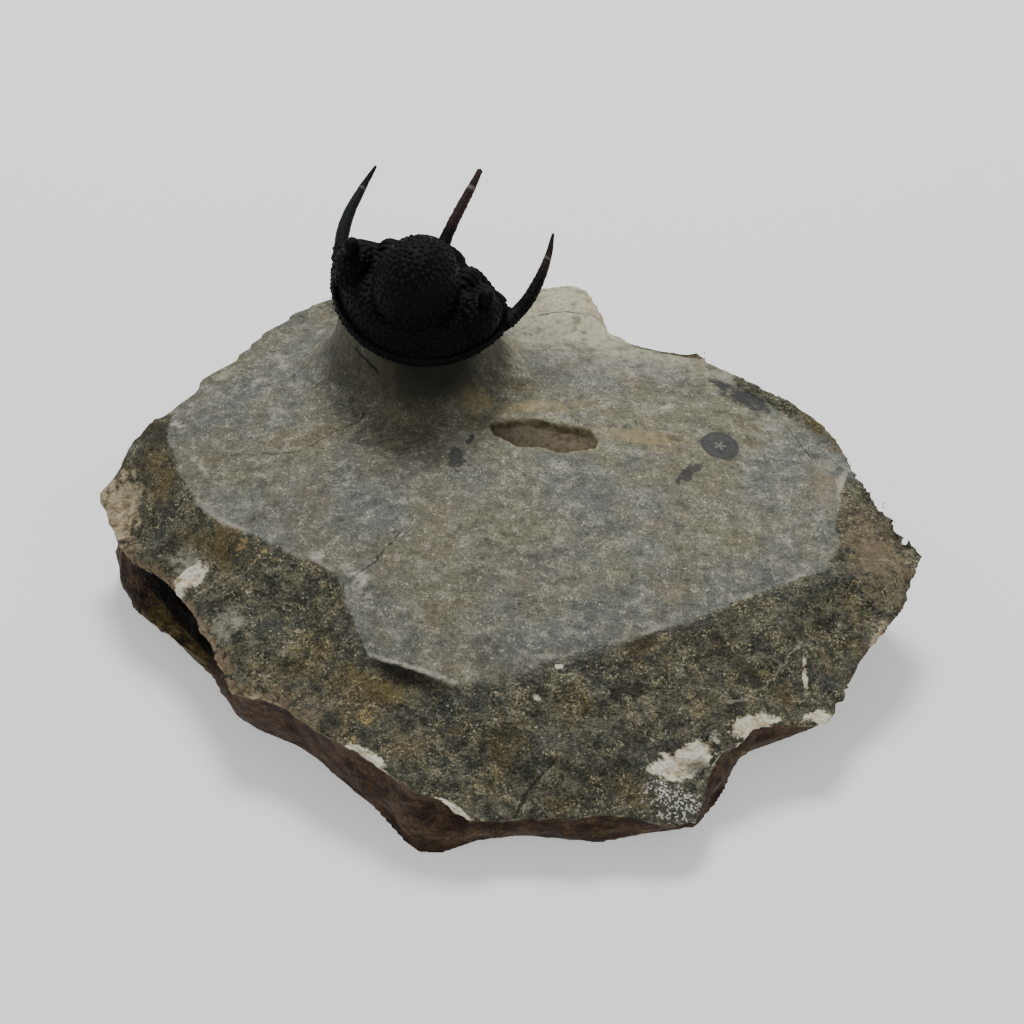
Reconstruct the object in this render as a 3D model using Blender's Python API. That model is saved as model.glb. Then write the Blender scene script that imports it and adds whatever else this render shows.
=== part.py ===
"""A spiny trilobite on the piece of limestone that it was prepared from.

The stone, the head shield, the twelve plates of the thorax and the tail shield are separate solids.
Lengths are in millimetres and become metres where a mesh is made. +Z is up, +X is to the right and -Y
faces the viewer. The origin lies on the ground under the middle of the stone.
"""
import math

import bmesh
import bpy
from mathutils import Matrix, Vector, noise

MM = 0.001
CLEARANCE = 0.06
SHARP_ANGLE = 35.0
ROUNDING = 1e-6

# Stone: the widest edge all round with its height above the ground, clockwise from the right tip
RIM = [
    (30.1, -2.1, 7.0), (29.3, -4.1, 6.8), (28.7, -6.2, 6.4), (26.9, -9.2, 6.0), (25.4, -11.0, 5.8),
    (24.4, -12.9, 5.2), (22.9, -16.1, 4.6), (22.4, -17.1, 4.5), (20.7, -17.4, 4.6), (18.9, -17.7, 5.0),
    (17.4, -18.3, 5.2), (15.5, -19.5, 4.9), (14.2, -20.7, 4.4), (13.8, -22.8, 3.8), (13.0, -25.3, 3.0),
    (11.7, -25.8, 3.2), (9.5, -25.5, 3.6), (4.8, -25.6, 3.8), (-0.4, -25.4, 3.4), (-2.5, -26.0, 3.8),
    (-4.2, -25.3, 4.8), (-6.1, -24.3, 5.4), (-8.7, -22.9, 6.0), (-12.4, -19.9, 6.0), (-15.4, -17.1, 6.0),
    (-17.3, -16.1, 6.0), (-19.2, -15.5, 5.8), (-20.3, -13.3, 6.2), (-21.5, -10.0, 6.4), (-23.4, -6.3, 6.5),
    (-24.3, -4.6, 6.6), (-26.2, -3.4, 6.6), (-28.7, -0.5, 6.7), (-29.4, 2.4, 6.8), (-30.1, 4.7, 7.0),
    (-28.3, 6.6, 8.6), (-28.1, 7.5, 9.3), (-26.6, 8.7, 10.9), (-25.4, 9.1, 11.2), (-23.3, 11.3, 11.6),
    (-22.9, 12.6, 11.9), (-20.3, 15.7, 12.2), (-16.3, 19.9, 12.7), (-13.6, 21.4, 12.9), (-8.3, 24.3, 12.9),
    (-5.2, 26.0, 12.9), (-3.4, 25.4, 12.9), (-1.5, 22.7, 12.8), (-0.1, 20.0, 12.7), (2.5, 22.6, 13.2),
    (4.7, 22.8, 13.2), (6.1, 22.5, 12.8), (7.3, 20.1, 12.2), (7.7, 18.2, 12.0), (9.5, 16.7, 12.0),
    (12.3, 16.1, 12.1), (14.6, 15.9, 12.1), (17.2, 13.3, 11.7), (20.9, 11.1, 11.2), (23.4, 8.5, 10.6),
    (25.2, 6.2, 9.8), (26.2, 3.9, 9.2), (28.3, 1.3, 8.2), (29.0, -0.1, 7.8),
]

# Stone: the edge of the smooth top, where the broken band starts
SHOULDER = [
    (24.9, 4.5), (24.2, 1.5), (23.6, -0.7), (23.9, -2.6), (22.7, -5.1), (18.7, -7.5), (13.0, -10.9),
    (7.7, -13.2), (2.4, -15.0), (0.3, -16.0), (-3.3, -16.8), (-7.2, -15.4), (-9.6, -14.6), (-10.6, -12.1),
    (-11.4, -10.3), (-11.9, -8.2), (-13.2, -7.0), (-15.2, -6.1), (-18.0, -4.3), (-20.6, -2.7), (-22.9, 0.3),
    (-24.0, 3.0), (-25.0, 7.2), (-24.8, 8.7), (-22.6, 10.9), (-22.1, 12.1), (-19.6, 15.0), (-15.7, 19.0),
    (-13.2, 20.5), (-8.0, 23.2), (-5.1, 25.0), (-3.7, 24.4), (-2.0, 21.8), (-0.6, 19.3), (2.0, 21.9),
    (4.4, 22.0), (5.5, 21.6), (6.5, 19.8), (6.9, 17.6), (9.0, 15.9), (12.0, 15.3), (14.2, 15.0),
    (16.7, 12.4), (20.3, 10.2), (22.6, 8.0), (24.2, 6.0),
]

# Stone: the outline of the flat base on the ground
FOOT = [
    (26.8, -1.0), (26.0, -4.5), (24.0, -8.5), (22.0, -12.6), (20.0, -13.6), (16.5, -15.4), (15.8, -16.9),
    (15.2, -19.0), (14.3, -20.6), (13.0, -22.6), (9.5, -23.2), (6.4, -24.1), (1.0, -23.4), (-2.1, -23.9),
    (-4.2, -25.0), (-6.0, -25.1), (-7.2, -23.9), (-9.2, -20.8), (-11.7, -18.0), (-13.3, -16.0),
    (-14.8, -14.6), (-17.6, -13.0), (-19.4, -11.4), (-20.5, -8.6), (-22.5, -6.0), (-24.5, -3.0),
    (-26.1, 0.6), (-27.3, 3.6), (-27.6, 5.6), (-24.3, 8.8),
    (-22.0, 11.4), (-19.3, 14.4), (-13.0, 20.0), (-8.0, 22.4), (-4.9, 24.2), (-3.4, 23.6),
    (-1.9, 21.2), (-0.5, 19.4), (1.8, 21.7), (4.2, 21.3), (5.9, 20.8), (6.5, 17.3), (8.5, 15.5),
    (11.5, 14.7), (13.8, 14.4), (16.3, 12.3), (19.5, 10.5), (22.0, 8.5), (24.0, 5.5), (26.0, 2.5),
]

HUB = Vector((-6.5, 11.0))
SPOKES = 96
TOP_SHARES = (0.2, 0.42, 0.62, 0.82, 1.0)
BAND_SHARES = (0.07, 0.3, 0.55, 0.8, 1.0)
WALL_SHARES = (0.3, 0.65, 0.88, 1.0)

# Smooth top: a low dome that drops 1 mm at these distances from its crest, across and front to back
CREST = Vector((-4.0, 11.35, 13.4))
DOME_RUN = (15.0, 12.2)
BACK_BLOCK = {"middle": Vector((4.6, 21.2)), "reach": 5.1, "rise": 0.9}

# Broken band and undercut side
CHIP_SIZE = 5.5
CHIP_DEPTH = 2.2
CHIP_GROWTH = 3.0
CHIP_MEAN = 0.28
CHIP_TILT = 0.6
CHIP_SEED = 7
FULL_BAND = 4.0
LEDGE = {"heading": -91.5, "reach": 9.0, "drop": 1.0}
CAVE = {"heading": -135.0, "reach": 20.0, "depth": -3.6}
LOBE = {"heading": -148.0, "reach": 40.0, "depth": 1.4}
THROAT = -0.8

# Shallow recess in the top in front of the animal
RECESS = [(-1.4, 5.5), (-0.9, 6.0), (2.4, 6.4), (3.0, 6.1), (6.0, 5.6), (6.6, 4.5), (6.4, 3.6), (4.1, 2.9),
          (2.2, 3.4), (0.8, 3.4), (-0.3, 4.0), (-1.1, 4.7)]
RECESS_DEPTH = 0.5

# Animal: its own axes are x to the right side, y to the tail and z to the back of the shell
ANIMAL_ORIGIN = Vector((-5.95, 14.63, 19.2))
ANIMAL_YAW = -21.5
ANIMAL_PITCH = 12.7
ANIMAL_ROLL = 12.4

# Head shield
HEAD_HALF_WIDTH = 7.04
HEAD_LENGTH = 7.93
HEAD_BACK = 0.7
HEAD_MIDDLE_Y = -3.0
HEAD_POINTS = 40
HEAD_PROFILE = [
    (0.90, 0.0), (0.97, 0.08), (1.0, 0.42), (0.965, 0.82), (0.91, 0.80), (0.89, 1.4), (0.86, 2.1),
    (0.79, 2.65), (0.68, 2.95), (0.45, 3.1), (0.2, 3.15),
]
GLABELLA = {"centre": (0.0, -3.2, 3.75), "radii": (3.08, 3.5, 3.6)}
BASAL_LOBE = {"centre": (3.0, -0.6, 2.5), "radii": (1.0, 1.15, 0.95)}
EYE_MOUND = {"centre": (5.0, -2.75, 2.4), "radii": (1.45, 1.9, 1.65)}
EYE = {"centre": (5.29, -2.84, 4.6), "radii": (0.62, 0.72, 0.75)}
TUBERCLE_RISE = 0.17
GENAL_SPINE = [(6.6, -1.4, 0.5), (7.0, 0.0, 0.5), (7.35, 1.2, 0.95), (7.5, 2.7, 1.5), (7.4, 4.6, 2.15),
               (7.1, 6.1, 3.1)]
GENAL_RADII = (0.5, 0.52, 0.5, 0.42, 0.29, 0.12)
GENAL_LEAN = 0.18

# Thorax and tail: the shell curls round a cross axis, and angles run from straight up to the tail
CURL_CENTRE = Vector((-1.06, -2.4))
CURL_RADIUS = 5.5
CURL_TIGHTENING = 0.5
THORAX_START = 22.0
THORAX_END = 118.0
TAIL_END = 143.0
TAIL_ROUNDING = 0.85
TAIL_AXIS_TAPER = 0.6
TAIL_FLATTENING = 0.6
TAIL_RISES = (-0.1, 0.12, -0.06, 0.08, -0.06, 0.02, -0.1)
SEGMENTS = 12
SEGMENT_GAP = 0.8
HALF_WIDTH_START = 6.3
HALF_WIDTH_END = 3.7
AXIS_HALF_WIDTH = (2.1, 1.15)
AXIS_RISE = (1.05, 0.7)
FULCRUM_SHARE = 0.53
FLANK_DROP = 1.75
FLANK_BEND = 1.15
PLATE_THICKNESS = 0.5
INNER_SHARE = 0.97
SIDE_CLEARANCE = 0.2
CORE_STEPS = 8
CORE_INNER_RADIUS = 0.4
CORE_WIDTH_SHARE = 0.94
OCCIPITAL_INNER_RADIUS = 2.9
OCCIPITAL_WIDTH_SHARE = 0.8
OCCIPITAL_SPAN = 13.0
OCCIPITAL_RISES = (-0.3, 0.05, 0.12, 0.0)
RIDGE_RISE = 0.14
SPINE_SEGMENT = 6
AXIAL_SPINE = [(-0.3, 3.6, -0.3), (-0.3, 5.6, 0.45), (-0.2, 8.0, 1.0), (-0.1, 10.5, 1.5)]
AXIAL_RADII = (0.5, 0.43, 0.37, 0.22)

# Pedestal: a flared column from the underside of the head down to the smooth top
PEDESTAL_POINTS = 28
PEDESTAL_TOP = {"middle": (0.0, -2.6), "radii": (5.5, 5.0)}
PEDESTAL_FOOT = {"middle": (-6.6, 12.7), "radii": (9.2, 7.8)}
PEDESTAL_LEVELS = (0.0, 0.25, 0.5, 0.7, 0.84, 0.94, 1.0)
PEDESTAL_LEAN = 0.2
PEDESTAL_FLARE = 4.0
PEDESTAL_ROOT = 0.25

STONE_COLOUR = (0.16, 0.155, 0.125, 1.0)
SHELL_COLOUR = (0.012, 0.013, 0.015, 1.0)


def clear_scene():
    for obj in list(bpy.data.objects):
        bpy.data.objects.remove(obj, do_unlink=True)


def collection(name):
    made = bpy.data.collections.new(name)
    bpy.context.scene.collection.children.link(made)
    return made


def material(name, colour, roughness):
    made = bpy.data.materials.new(name)
    made.use_nodes = True
    shader = made.node_tree.nodes["Principled BSDF"]
    shader.inputs["Base Color"].default_value = colour
    shader.inputs["Roughness"].default_value = roughness
    made.diffuse_color = colour
    return made


def as_object(name, bm, group, frame=Matrix.Identity(4), smooth=True):
    """Turns millimetres into metres and places the solid by the frame that it was drawn in."""
    bmesh.ops.scale(bm, vec=Vector((MM, MM, MM)), verts=bm.verts)
    bmesh.ops.recalc_face_normals(bm, faces=bm.faces)
    mesh = bpy.data.meshes.new(name)
    bm.to_mesh(mesh)
    bm.free()
    if smooth:
        mesh.shade_smooth()
        mesh.set_sharp_from_angle(angle=math.radians(SHARP_ANGLE))
    obj = bpy.data.objects.new(name, mesh)
    obj.matrix_world = frame
    group.objects.link(obj)
    return obj


def loft(rings, first_tip=None, last_tip=None):
    """Joins closed rings of equal length; each end is a flat cap or runs to a tip."""
    bm = bmesh.new()
    rows = [[bm.verts.new(point) for point in ring] for ring in rings]
    count = len(rows[0])
    for lower, upper in zip(rows, rows[1:]):
        for i in range(count):
            j = (i + 1) % count
            bm.faces.new((lower[i], lower[j], upper[j], upper[i]))
    for row, tip in ((rows[0], first_tip), (rows[-1], last_tip)):
        if tip is None:
            bm.faces.new(row)
        else:
            point = bm.verts.new(tip)
            for i in range(count):
                bm.faces.new((row[i], row[(i + 1) % count], point))
    return bm


def combine(obj, other, operation):
    """Adds or cuts another solid, which stays in the file as a hidden wire guide."""
    modifier = obj.modifiers.new(operation.title() + "_" + other.name, "BOOLEAN")
    modifier.operation = operation
    modifier.solver = "EXACT"
    modifier.object = other
    other.hide_render = True
    other.display_type = "WIRE"


def tapered_rod(name, points, radii, group, frame):
    """A smooth round rod whose radius changes from point to point, made a closed mesh."""
    curve = bpy.data.curves.new(name, "CURVE")
    curve.dimensions = "3D"
    curve.bevel_depth = MM
    curve.bevel_resolution = 2
    curve.use_fill_caps = True
    curve.resolution_u = 3
    spline = curve.splines.new("NURBS")
    spline.points.add(len(points) - 1)
    for point, place, radius in zip(spline.points, points, radii):
        point.co = (place[0] * MM, place[1] * MM, place[2] * MM, 1.0)
        point.radius = radius
    spline.order_u = 3
    spline.use_endpoint_u = True
    source = bpy.data.objects.new(name + "_curve", curve)
    bpy.context.scene.collection.objects.link(source)
    bpy.context.view_layer.update()
    evaluated = source.evaluated_get(bpy.context.evaluated_depsgraph_get())
    mesh = bpy.data.meshes.new_from_object(evaluated)
    bm = bmesh.new()
    bm.from_mesh(mesh)
    bmesh.ops.remove_doubles(bm, verts=bm.verts, dist=0.01 * MM)
    bm.to_mesh(mesh)
    bm.free()
    rod = bpy.data.objects.new(name, mesh)
    rod.matrix_world = frame
    group.objects.link(rod)
    bpy.data.objects.remove(source, do_unlink=True)
    return rod


def ball(name, shape, side, group, frame, segments=12, rings=8, lumps=0.0):
    """An egg-shaped lump; with lumps, every other point of its surface is raised."""
    bm = bmesh.new()
    bmesh.ops.create_uvsphere(bm, u_segments=segments, v_segments=rings, radius=1.0)
    for i, vert in enumerate(bm.verts):
        rise = 1.0 + (lumps if i % 2 else 0.0)
        vert.co = Vector([c * r * rise for c, r in zip(vert.co, shape["radii"])])
    centre = shape["centre"]
    bmesh.ops.translate(bm, vec=Vector((centre[0] * side, centre[1], centre[2])), verts=bm.verts)
    return as_object(name, bm, group, frame)


def window(value, middle, reach):
    """1 at the middle, falling smoothly to 0 at the reach."""
    share = abs(value - middle) / reach
    return 0.0 if share >= 1.0 else 0.5 + 0.5 * math.cos(math.pi * share)


def crossing(outline, heading):
    """Where a ray from the hub meets an outline: its distance and the height there."""
    direction = Vector((math.cos(heading), math.sin(heading)))
    for start, end in zip(outline, outline[1:] + outline[:1]):
        offset = Vector(start[:2]) - HUB
        edge = Vector(end[:2]) - Vector(start[:2])
        turn = direction.cross(edge)
        if abs(turn) < ROUNDING:
            continue
        distance = offset.cross(edge) / turn
        share = offset.cross(direction) / turn
        if distance > 0.0 and -ROUNDING < share < 1.0 + ROUNDING:
            height = start[2] + (end[2] - start[2]) * share if len(start) == 3 else 0.0
            return distance, height
    raise ValueError("The outline has a gap")


def headings():
    """Spoke directions that meet the rim at nearly equal steps and at its corners."""
    corners = [Vector(point[:2]) for point in RIM]
    lengths = [(b - a).length for a, b in zip(corners, corners[1:] + corners[:1])]
    step = sum(lengths) / SPOKES
    found = []
    travelled = 0.0
    for i, length in enumerate(lengths):
        a = corners[i]
        b = corners[(i + 1) % len(corners)]
        while len(found) * step < travelled + length and len(found) < SPOKES:
            spot = a.lerp(b, (len(found) * step - travelled) / length) - HUB
            found.append(math.atan2(spot.y, spot.x))
        travelled += length
    for corner in corners:
        spot = corner - HUB
        turn = math.atan2(spot.y, spot.x)
        nearest = min(range(SPOKES), key=lambda k: abs(math.remainder(found[k] - turn, math.tau)))
        found[nearest] = turn
    return found


def top_height(x, y):
    """The smooth top, with the raised block at the back corner."""
    dome = CREST.z - ((x - CREST.x) / DOME_RUN[0]) ** 2 - ((y - CREST.y) / DOME_RUN[1]) ** 2
    away = (Vector((x, y)) - BACK_BLOCK["middle"]).length
    return dome + BACK_BLOCK["rise"] * window(away, 0.0, BACK_BLOCK["reach"])


def chips(place):
    """The broken stone: hollow chips that meet in ridges, each tilted its own way."""
    spot = place / CHIP_SIZE
    heights = []
    for middle in noise.voronoi(spot)[1]:
        away = spot - middle
        heights.append(away.length_squared + CHIP_TILT * away.dot(noise.noise_vector(middle * 7.0)))
    return CHIP_DEPTH * (min(heights) - CHIP_MEAN)


def spoke_points(heading):
    """One section of the stone, from the hub over the top and the band down to the foot."""
    direction = Vector((math.cos(heading), math.sin(heading)))
    degrees = math.degrees(heading)
    shoulder = crossing(SHOULDER, heading)[0]
    rim, rim_height = crossing(RIM, heading)
    foot = crossing(FOOT, heading)[0]
    points = []
    for share in TOP_SHARES:
        spot = HUB + direction * shoulder * share
        points.append(Vector((spot.x, spot.y, top_height(spot.x, spot.y))))
    edge_height = points[-1].z
    calm = min(1.0, (rim - shoulder) / FULL_BAND)
    for share in BAND_SHARES:
        spot = HUB + direction * (shoulder + (rim - shoulder) * share)
        height = edge_height + (rim_height - edge_height) * share
        if share < 1.0:
            place = Vector((spot.x, spot.y, height))
            growth = min(1.0, share * CHIP_GROWTH, (1.0 - share) * CHIP_GROWTH * 2.0)
            height += chips(place) * growth * calm
            height -= LEDGE["drop"] * (1.0 - share) * window(degrees, LEDGE["heading"], LEDGE["reach"])
        points.append(Vector((spot.x, spot.y, height)))
    cave = CAVE["depth"] * window(degrees, CAVE["heading"], CAVE["reach"])
    lobe = LOBE["depth"] * window(degrees, LOBE["heading"], LOBE["reach"])
    for share in WALL_SHARES:
        reach = rim + (foot - rim) * share
        if share == WALL_SHARES[0]:
            reach += THROAT + cave
        if share == WALL_SHARES[1]:
            reach += lobe
        spot = HUB + direction * reach
        height = rim_height * (1.0 - share)
        if share < 1.0:
            place = Vector((spot.x, spot.y, height))
            spot += direction * min(0.0, chips(place))
        points.append(Vector((spot.x, spot.y, height)))
    return points


def stone(group):
    sections = [spoke_points(heading) for heading in headings()]
    rings = list(zip(*sections))
    bm = loft(rings, first_tip=Vector((HUB.x, HUB.y, top_height(*HUB))))
    return as_object("matrix", bm, group, smooth=False)


def oval_point(oval, turn):
    x, y = oval["middle"]
    across, deep = oval["radii"]
    return x + across * math.cos(turn), y + deep * math.sin(turn)


def pedestal(group, animal):
    """Rings that start in the plane of the head's underside and flare out onto the smooth top."""
    rings = []
    for level in PEDESTAL_LEVELS:
        flare = PEDESTAL_LEAN * level + (1.0 - PEDESTAL_LEAN) * level ** PEDESTAL_FLARE
        ring = []
        for i in range(PEDESTAL_POINTS):
            turn = 2.0 * math.pi * i / PEDESTAL_POINTS
            x, y = oval_point(PEDESTAL_TOP, turn)
            under_head = animal @ Vector((x, y, -CLEARANCE))
            x, y = oval_point(PEDESTAL_FOOT, turn + math.radians(ANIMAL_YAW))
            on_stone = Vector((x, y, top_height(x, y) - PEDESTAL_ROOT))
            point = under_head.lerp(on_stone, flare)
            point.z = under_head.z + (on_stone.z - under_head.z) * level
            ring.append(point)
        rings.append(ring)
    return as_object("pedestal", loft(rings), group)


def along(start, end, angle):
    """A value that goes from its start at the head to its end at the last plate."""
    share = (angle - THORAX_START) / (THORAX_END - THORAX_START)
    return start + (end - start) * max(0.0, share) ** 2


def tail_share(angle):
    return min(1.0, max(0.0, angle - THORAX_END) / (TAIL_END - THORAX_END))


def half_width(angle):
    """Half the width of the shell: it narrows along the thorax and is rounded off at the tail."""
    rounding = math.sqrt(1.0 - TAIL_ROUNDING * tail_share(angle) ** 2)
    return along(HALF_WIDTH_START, HALF_WIDTH_END, angle) * rounding


def axis_half_width(angle):
    return along(*AXIS_HALF_WIDTH, angle) * (1.0 - TAIL_AXIS_TAPER * tail_share(angle))


def shell_radius(lateral, angle):
    """Distance of the shell's outside from the curl's axis: a raised middle, then bent-down flanks."""
    half = half_width(angle)
    axis = axis_half_width(angle)
    rise = along(*AXIS_RISE, angle)
    furrow = CURL_RADIUS - along(0.0, CURL_TIGHTENING, angle) - rise
    away = abs(lateral)
    if away < axis:
        return furrow + rise * math.sqrt(1.0 - (away / axis) ** 2)
    fulcrum = half * FULCRUM_SHARE
    if away < fulcrum:
        return furrow + 0.1 * math.sin(math.pi * (away - axis) / (fulcrum - axis))
    drop = FLANK_DROP * (1.0 - TAIL_FLATTENING * tail_share(angle))
    return furrow - drop * ((min(away, half) - fulcrum) / (half - fulcrum)) ** FLANK_BEND


def laterals(half, axis):
    """Places across the shell, close together on the raised middle."""
    fulcrum = half * FULCRUM_SHARE
    flank = [half, half * 0.9 + fulcrum * 0.1, (half + fulcrum) / 2.0, fulcrum]
    middle = [axis * math.sin(math.radians(turn)) for turn in (-90, -66, -38, 0, 38, 66, 90)]
    return [-x for x in flank] + middle + flank[::-1]


def curl_point(lateral, radius, angle):
    turn = math.radians(angle)
    return Vector((lateral,
                   CURL_CENTRE.x + radius * math.sin(turn),
                   CURL_CENTRE.y + radius * math.cos(turn)))


def shell_ring(angle, rise, inside, spread=1.0):
    """A closed outline at one angle: across the outside of the shell and back along its inside."""
    places = [x * spread for x in laterals(half_width(angle), axis_half_width(angle))]
    outer = [curl_point(x, shell_radius(x, angle) + rise, angle) for x in places]
    inner = [curl_point(x * INNER_SHARE, inside(x * INNER_SHARE), angle) for x in reversed(places)]
    return outer + inner


def plate(name, group, start, end, frame, steps):
    """One shell plate between two angles, with a rise for each step from its front to its back."""
    rings = []
    for i, rise in enumerate(steps):
        angle = start + (end - start) * i / (len(steps) - 1)
        rings.append(shell_ring(angle, rise, lambda x: shell_radius(x, angle) - PLATE_THICKNESS))
    return as_object(name, loft(rings), group, frame)


def shell_angles(ahead, behind):
    """Angles along the whole shell, as close together in the tail as its own ribs."""
    pitch = (THORAX_END - THORAX_START) / CORE_STEPS
    ribs = len(TAIL_RISES) - 1
    rib = (TAIL_END - THORAX_END) / ribs
    thorax_part = [THORAX_START - ahead] + [THORAX_START + pitch * i for i in range(1, CORE_STEPS)]
    tail_part = [THORAX_END + rib * i for i in range(ribs)]
    return thorax_part + tail_part + [TAIL_END + behind]


def core(group, frame):
    """The stone that fills the curled shell."""
    rings = []
    for angle in shell_angles(0.0, -SEGMENT_GAP):
        rings.append(shell_ring(angle, -PLATE_THICKNESS - CLEARANCE, lambda x: CORE_INNER_RADIUS,
                                CORE_WIDTH_SHARE))
    return as_object("core", loft(rings), group, frame)


def shell_room(group, frame):
    """The space that the plates take out of the stone."""
    rings = []
    for angle in shell_angles(SEGMENT_GAP, SEGMENT_GAP):
        depth = PLATE_THICKNESS + 2.0 * CLEARANCE
        spread = 1.0 + SIDE_CLEARANCE / half_width(angle)
        rings.append(shell_ring(angle, RIDGE_RISE + CLEARANCE, lambda x: shell_radius(x, angle) - depth,
                                spread))
    return as_object("shell_room", loft(rings), group, frame)


def recess(group):
    """A cutter for the shallow hollow in front of the animal."""
    floor = [Vector((x, y, top_height(x, y) - RECESS_DEPTH)) for x, y in RECESS]
    lid = [Vector((point.x, point.y, CREST.z + 1.0)) for point in floor]
    centre = sum(floor, Vector()) / len(floor)
    return as_object("recess", loft([floor, lid], first_tip=centre), group, smooth=False)


def head_outline(turn):
    """A half oval in front and a shallow one behind, round the middle of the hind margin."""
    c = math.cos(turn)
    s = math.sin(turn)
    depth = HEAD_BACK if s > 0.0 else HEAD_LENGTH
    return Vector((HEAD_HALF_WIDTH * c, depth * s))


def head_dome(group, frame):
    rings = []
    middle = Vector((0.0, HEAD_MIDDLE_Y))
    for share, height in HEAD_PROFILE:
        ring = []
        for i in range(HEAD_POINTS):
            spot = middle.lerp(head_outline(2.0 * math.pi * i / HEAD_POINTS), share)
            ring.append(Vector((spot.x, spot.y, height)))
        rings.append(ring)
    bm = loft(rings, last_tip=Vector((0.0, HEAD_MIDDLE_Y, HEAD_PROFILE[-1][1])))
    turn = math.radians(THORAX_START - SEGMENT_GAP)
    cut = bmesh.ops.bisect_plane(bm, geom=bm.verts[:] + bm.edges[:] + bm.faces[:], dist=1e-5,
                                 plane_co=Vector((0.0, CURL_CENTRE.x, CURL_CENTRE.y)),
                                 plane_no=Vector((0.0, math.cos(turn), -math.sin(turn))),
                                 clear_outer=True)
    rim = [edge for edge in cut["geom_cut"] if isinstance(edge, bmesh.types.BMEdge)]
    bmesh.ops.holes_fill(bm, edges=rim, sides=0)
    return as_object("cephalon", bm, group, frame)


def occipital_ring(group, frame):
    """The raised hind margin of the head, shaped like one more plate of the thorax."""
    start = THORAX_START - SEGMENT_GAP / 2.0 - OCCIPITAL_SPAN
    step = OCCIPITAL_SPAN / (len(OCCIPITAL_RISES) - 1)
    rings = []
    for i, rise in enumerate(OCCIPITAL_RISES):
        angle = start + step * i
        rings.append(shell_ring(angle, rise, lambda x: OCCIPITAL_INNER_RADIUS, OCCIPITAL_WIDTH_SHARE))
    return as_object("occipital_ring", loft(rings), group, frame)


def cephalon(group, cutters, frame):
    head = head_dome(group, frame)
    combine(head, occipital_ring(cutters, frame), "UNION")
    for side, word in ((-1.0, "left"), (1.0, "right")):
        combine(head, ball("eye_mound_" + word, EYE_MOUND, side, cutters, frame), "UNION")
        combine(head, ball("basal_lobe_" + word, BASAL_LOBE, side, cutters, frame, 10, 7), "UNION")
        combine(head, ball("eye_" + word, EYE, side, cutters, frame, 10, 6), "UNION")
        lean = [GENAL_LEAN * i / (len(GENAL_SPINE) - 1) for i in range(len(GENAL_SPINE))]
        spine = [(x * side + off, y, z) for (x, y, z), off in zip(GENAL_SPINE, lean)]
        combine(head, tapered_rod("genal_spine_" + word, spine, GENAL_RADII, cutters, frame), "UNION")
    lumps = TUBERCLE_RISE / GLABELLA["radii"][0]
    combine(head, ball("glabella", GLABELLA, 1.0, cutters, frame, 20, 14, lumps), "UNION")
    return head


def thorax(group, cutters, frame):
    pitch = (THORAX_END - THORAX_START) / SEGMENTS
    plates = []
    for number in range(1, SEGMENTS + 1):
        start = THORAX_START + pitch * (number - 1)
        name = "thorax_segment_%02d" % number
        steps = (-RIDGE_RISE, RIDGE_RISE, 0.0)
        made = plate(name, group, start, start + pitch - SEGMENT_GAP, frame, steps)
        if number == SPINE_SEGMENT:
            combine(made, tapered_rod("axial_spine", AXIAL_SPINE, AXIAL_RADII, cutters, frame), "UNION")
        plates.append(made)
    return plates


def tail(group, frame):
    """The tail shield: ribs that fade towards a rounded end."""
    return plate("pygidium", group, THORAX_END, TAIL_END, frame, TAIL_RISES)


def build():
    clear_scene()
    noise.seed_set(CHIP_SEED)
    parts = collection("trilobite_fossil")
    cutters = collection("cutters")
    animal = (Matrix.Rotation(math.radians(ANIMAL_YAW), 4, "Z")
              @ Matrix.Rotation(math.radians(ANIMAL_PITCH), 4, "X")
              @ Matrix.Rotation(math.radians(ANIMAL_ROLL), 4, "Y"))
    in_mm = Matrix.Translation(ANIMAL_ORIGIN) @ animal
    frame = Matrix.Translation(ANIMAL_ORIGIN * MM) @ animal

    rock = stone(parts)
    combine(rock, recess(cutters), "DIFFERENCE")
    combine(rock, pedestal(cutters, in_mm), "UNION")
    combine(rock, core(cutters, frame), "UNION")
    combine(rock, shell_room(cutters, frame), "DIFFERENCE")
    rock.data.materials.append(material("limestone", STONE_COLOUR, 0.85))

    shell = [cephalon(parts, cutters, frame)] + thorax(parts, cutters, frame) + [tail(parts, frame)]
    for piece in shell:
        piece.data.materials.append(material(piece.name + "_shell", SHELL_COLOUR, 0.45))


build()
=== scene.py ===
"""The looks of a spiny trilobite on the piece of limestone that it was prepared from.

Every surface is built in millimetres and made metres at the end, in the frame of the solids.
"""

import math
import random

import bmesh
import bpy
import numpy as np
from mathutils import Matrix, Vector, kdtree, noise


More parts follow.
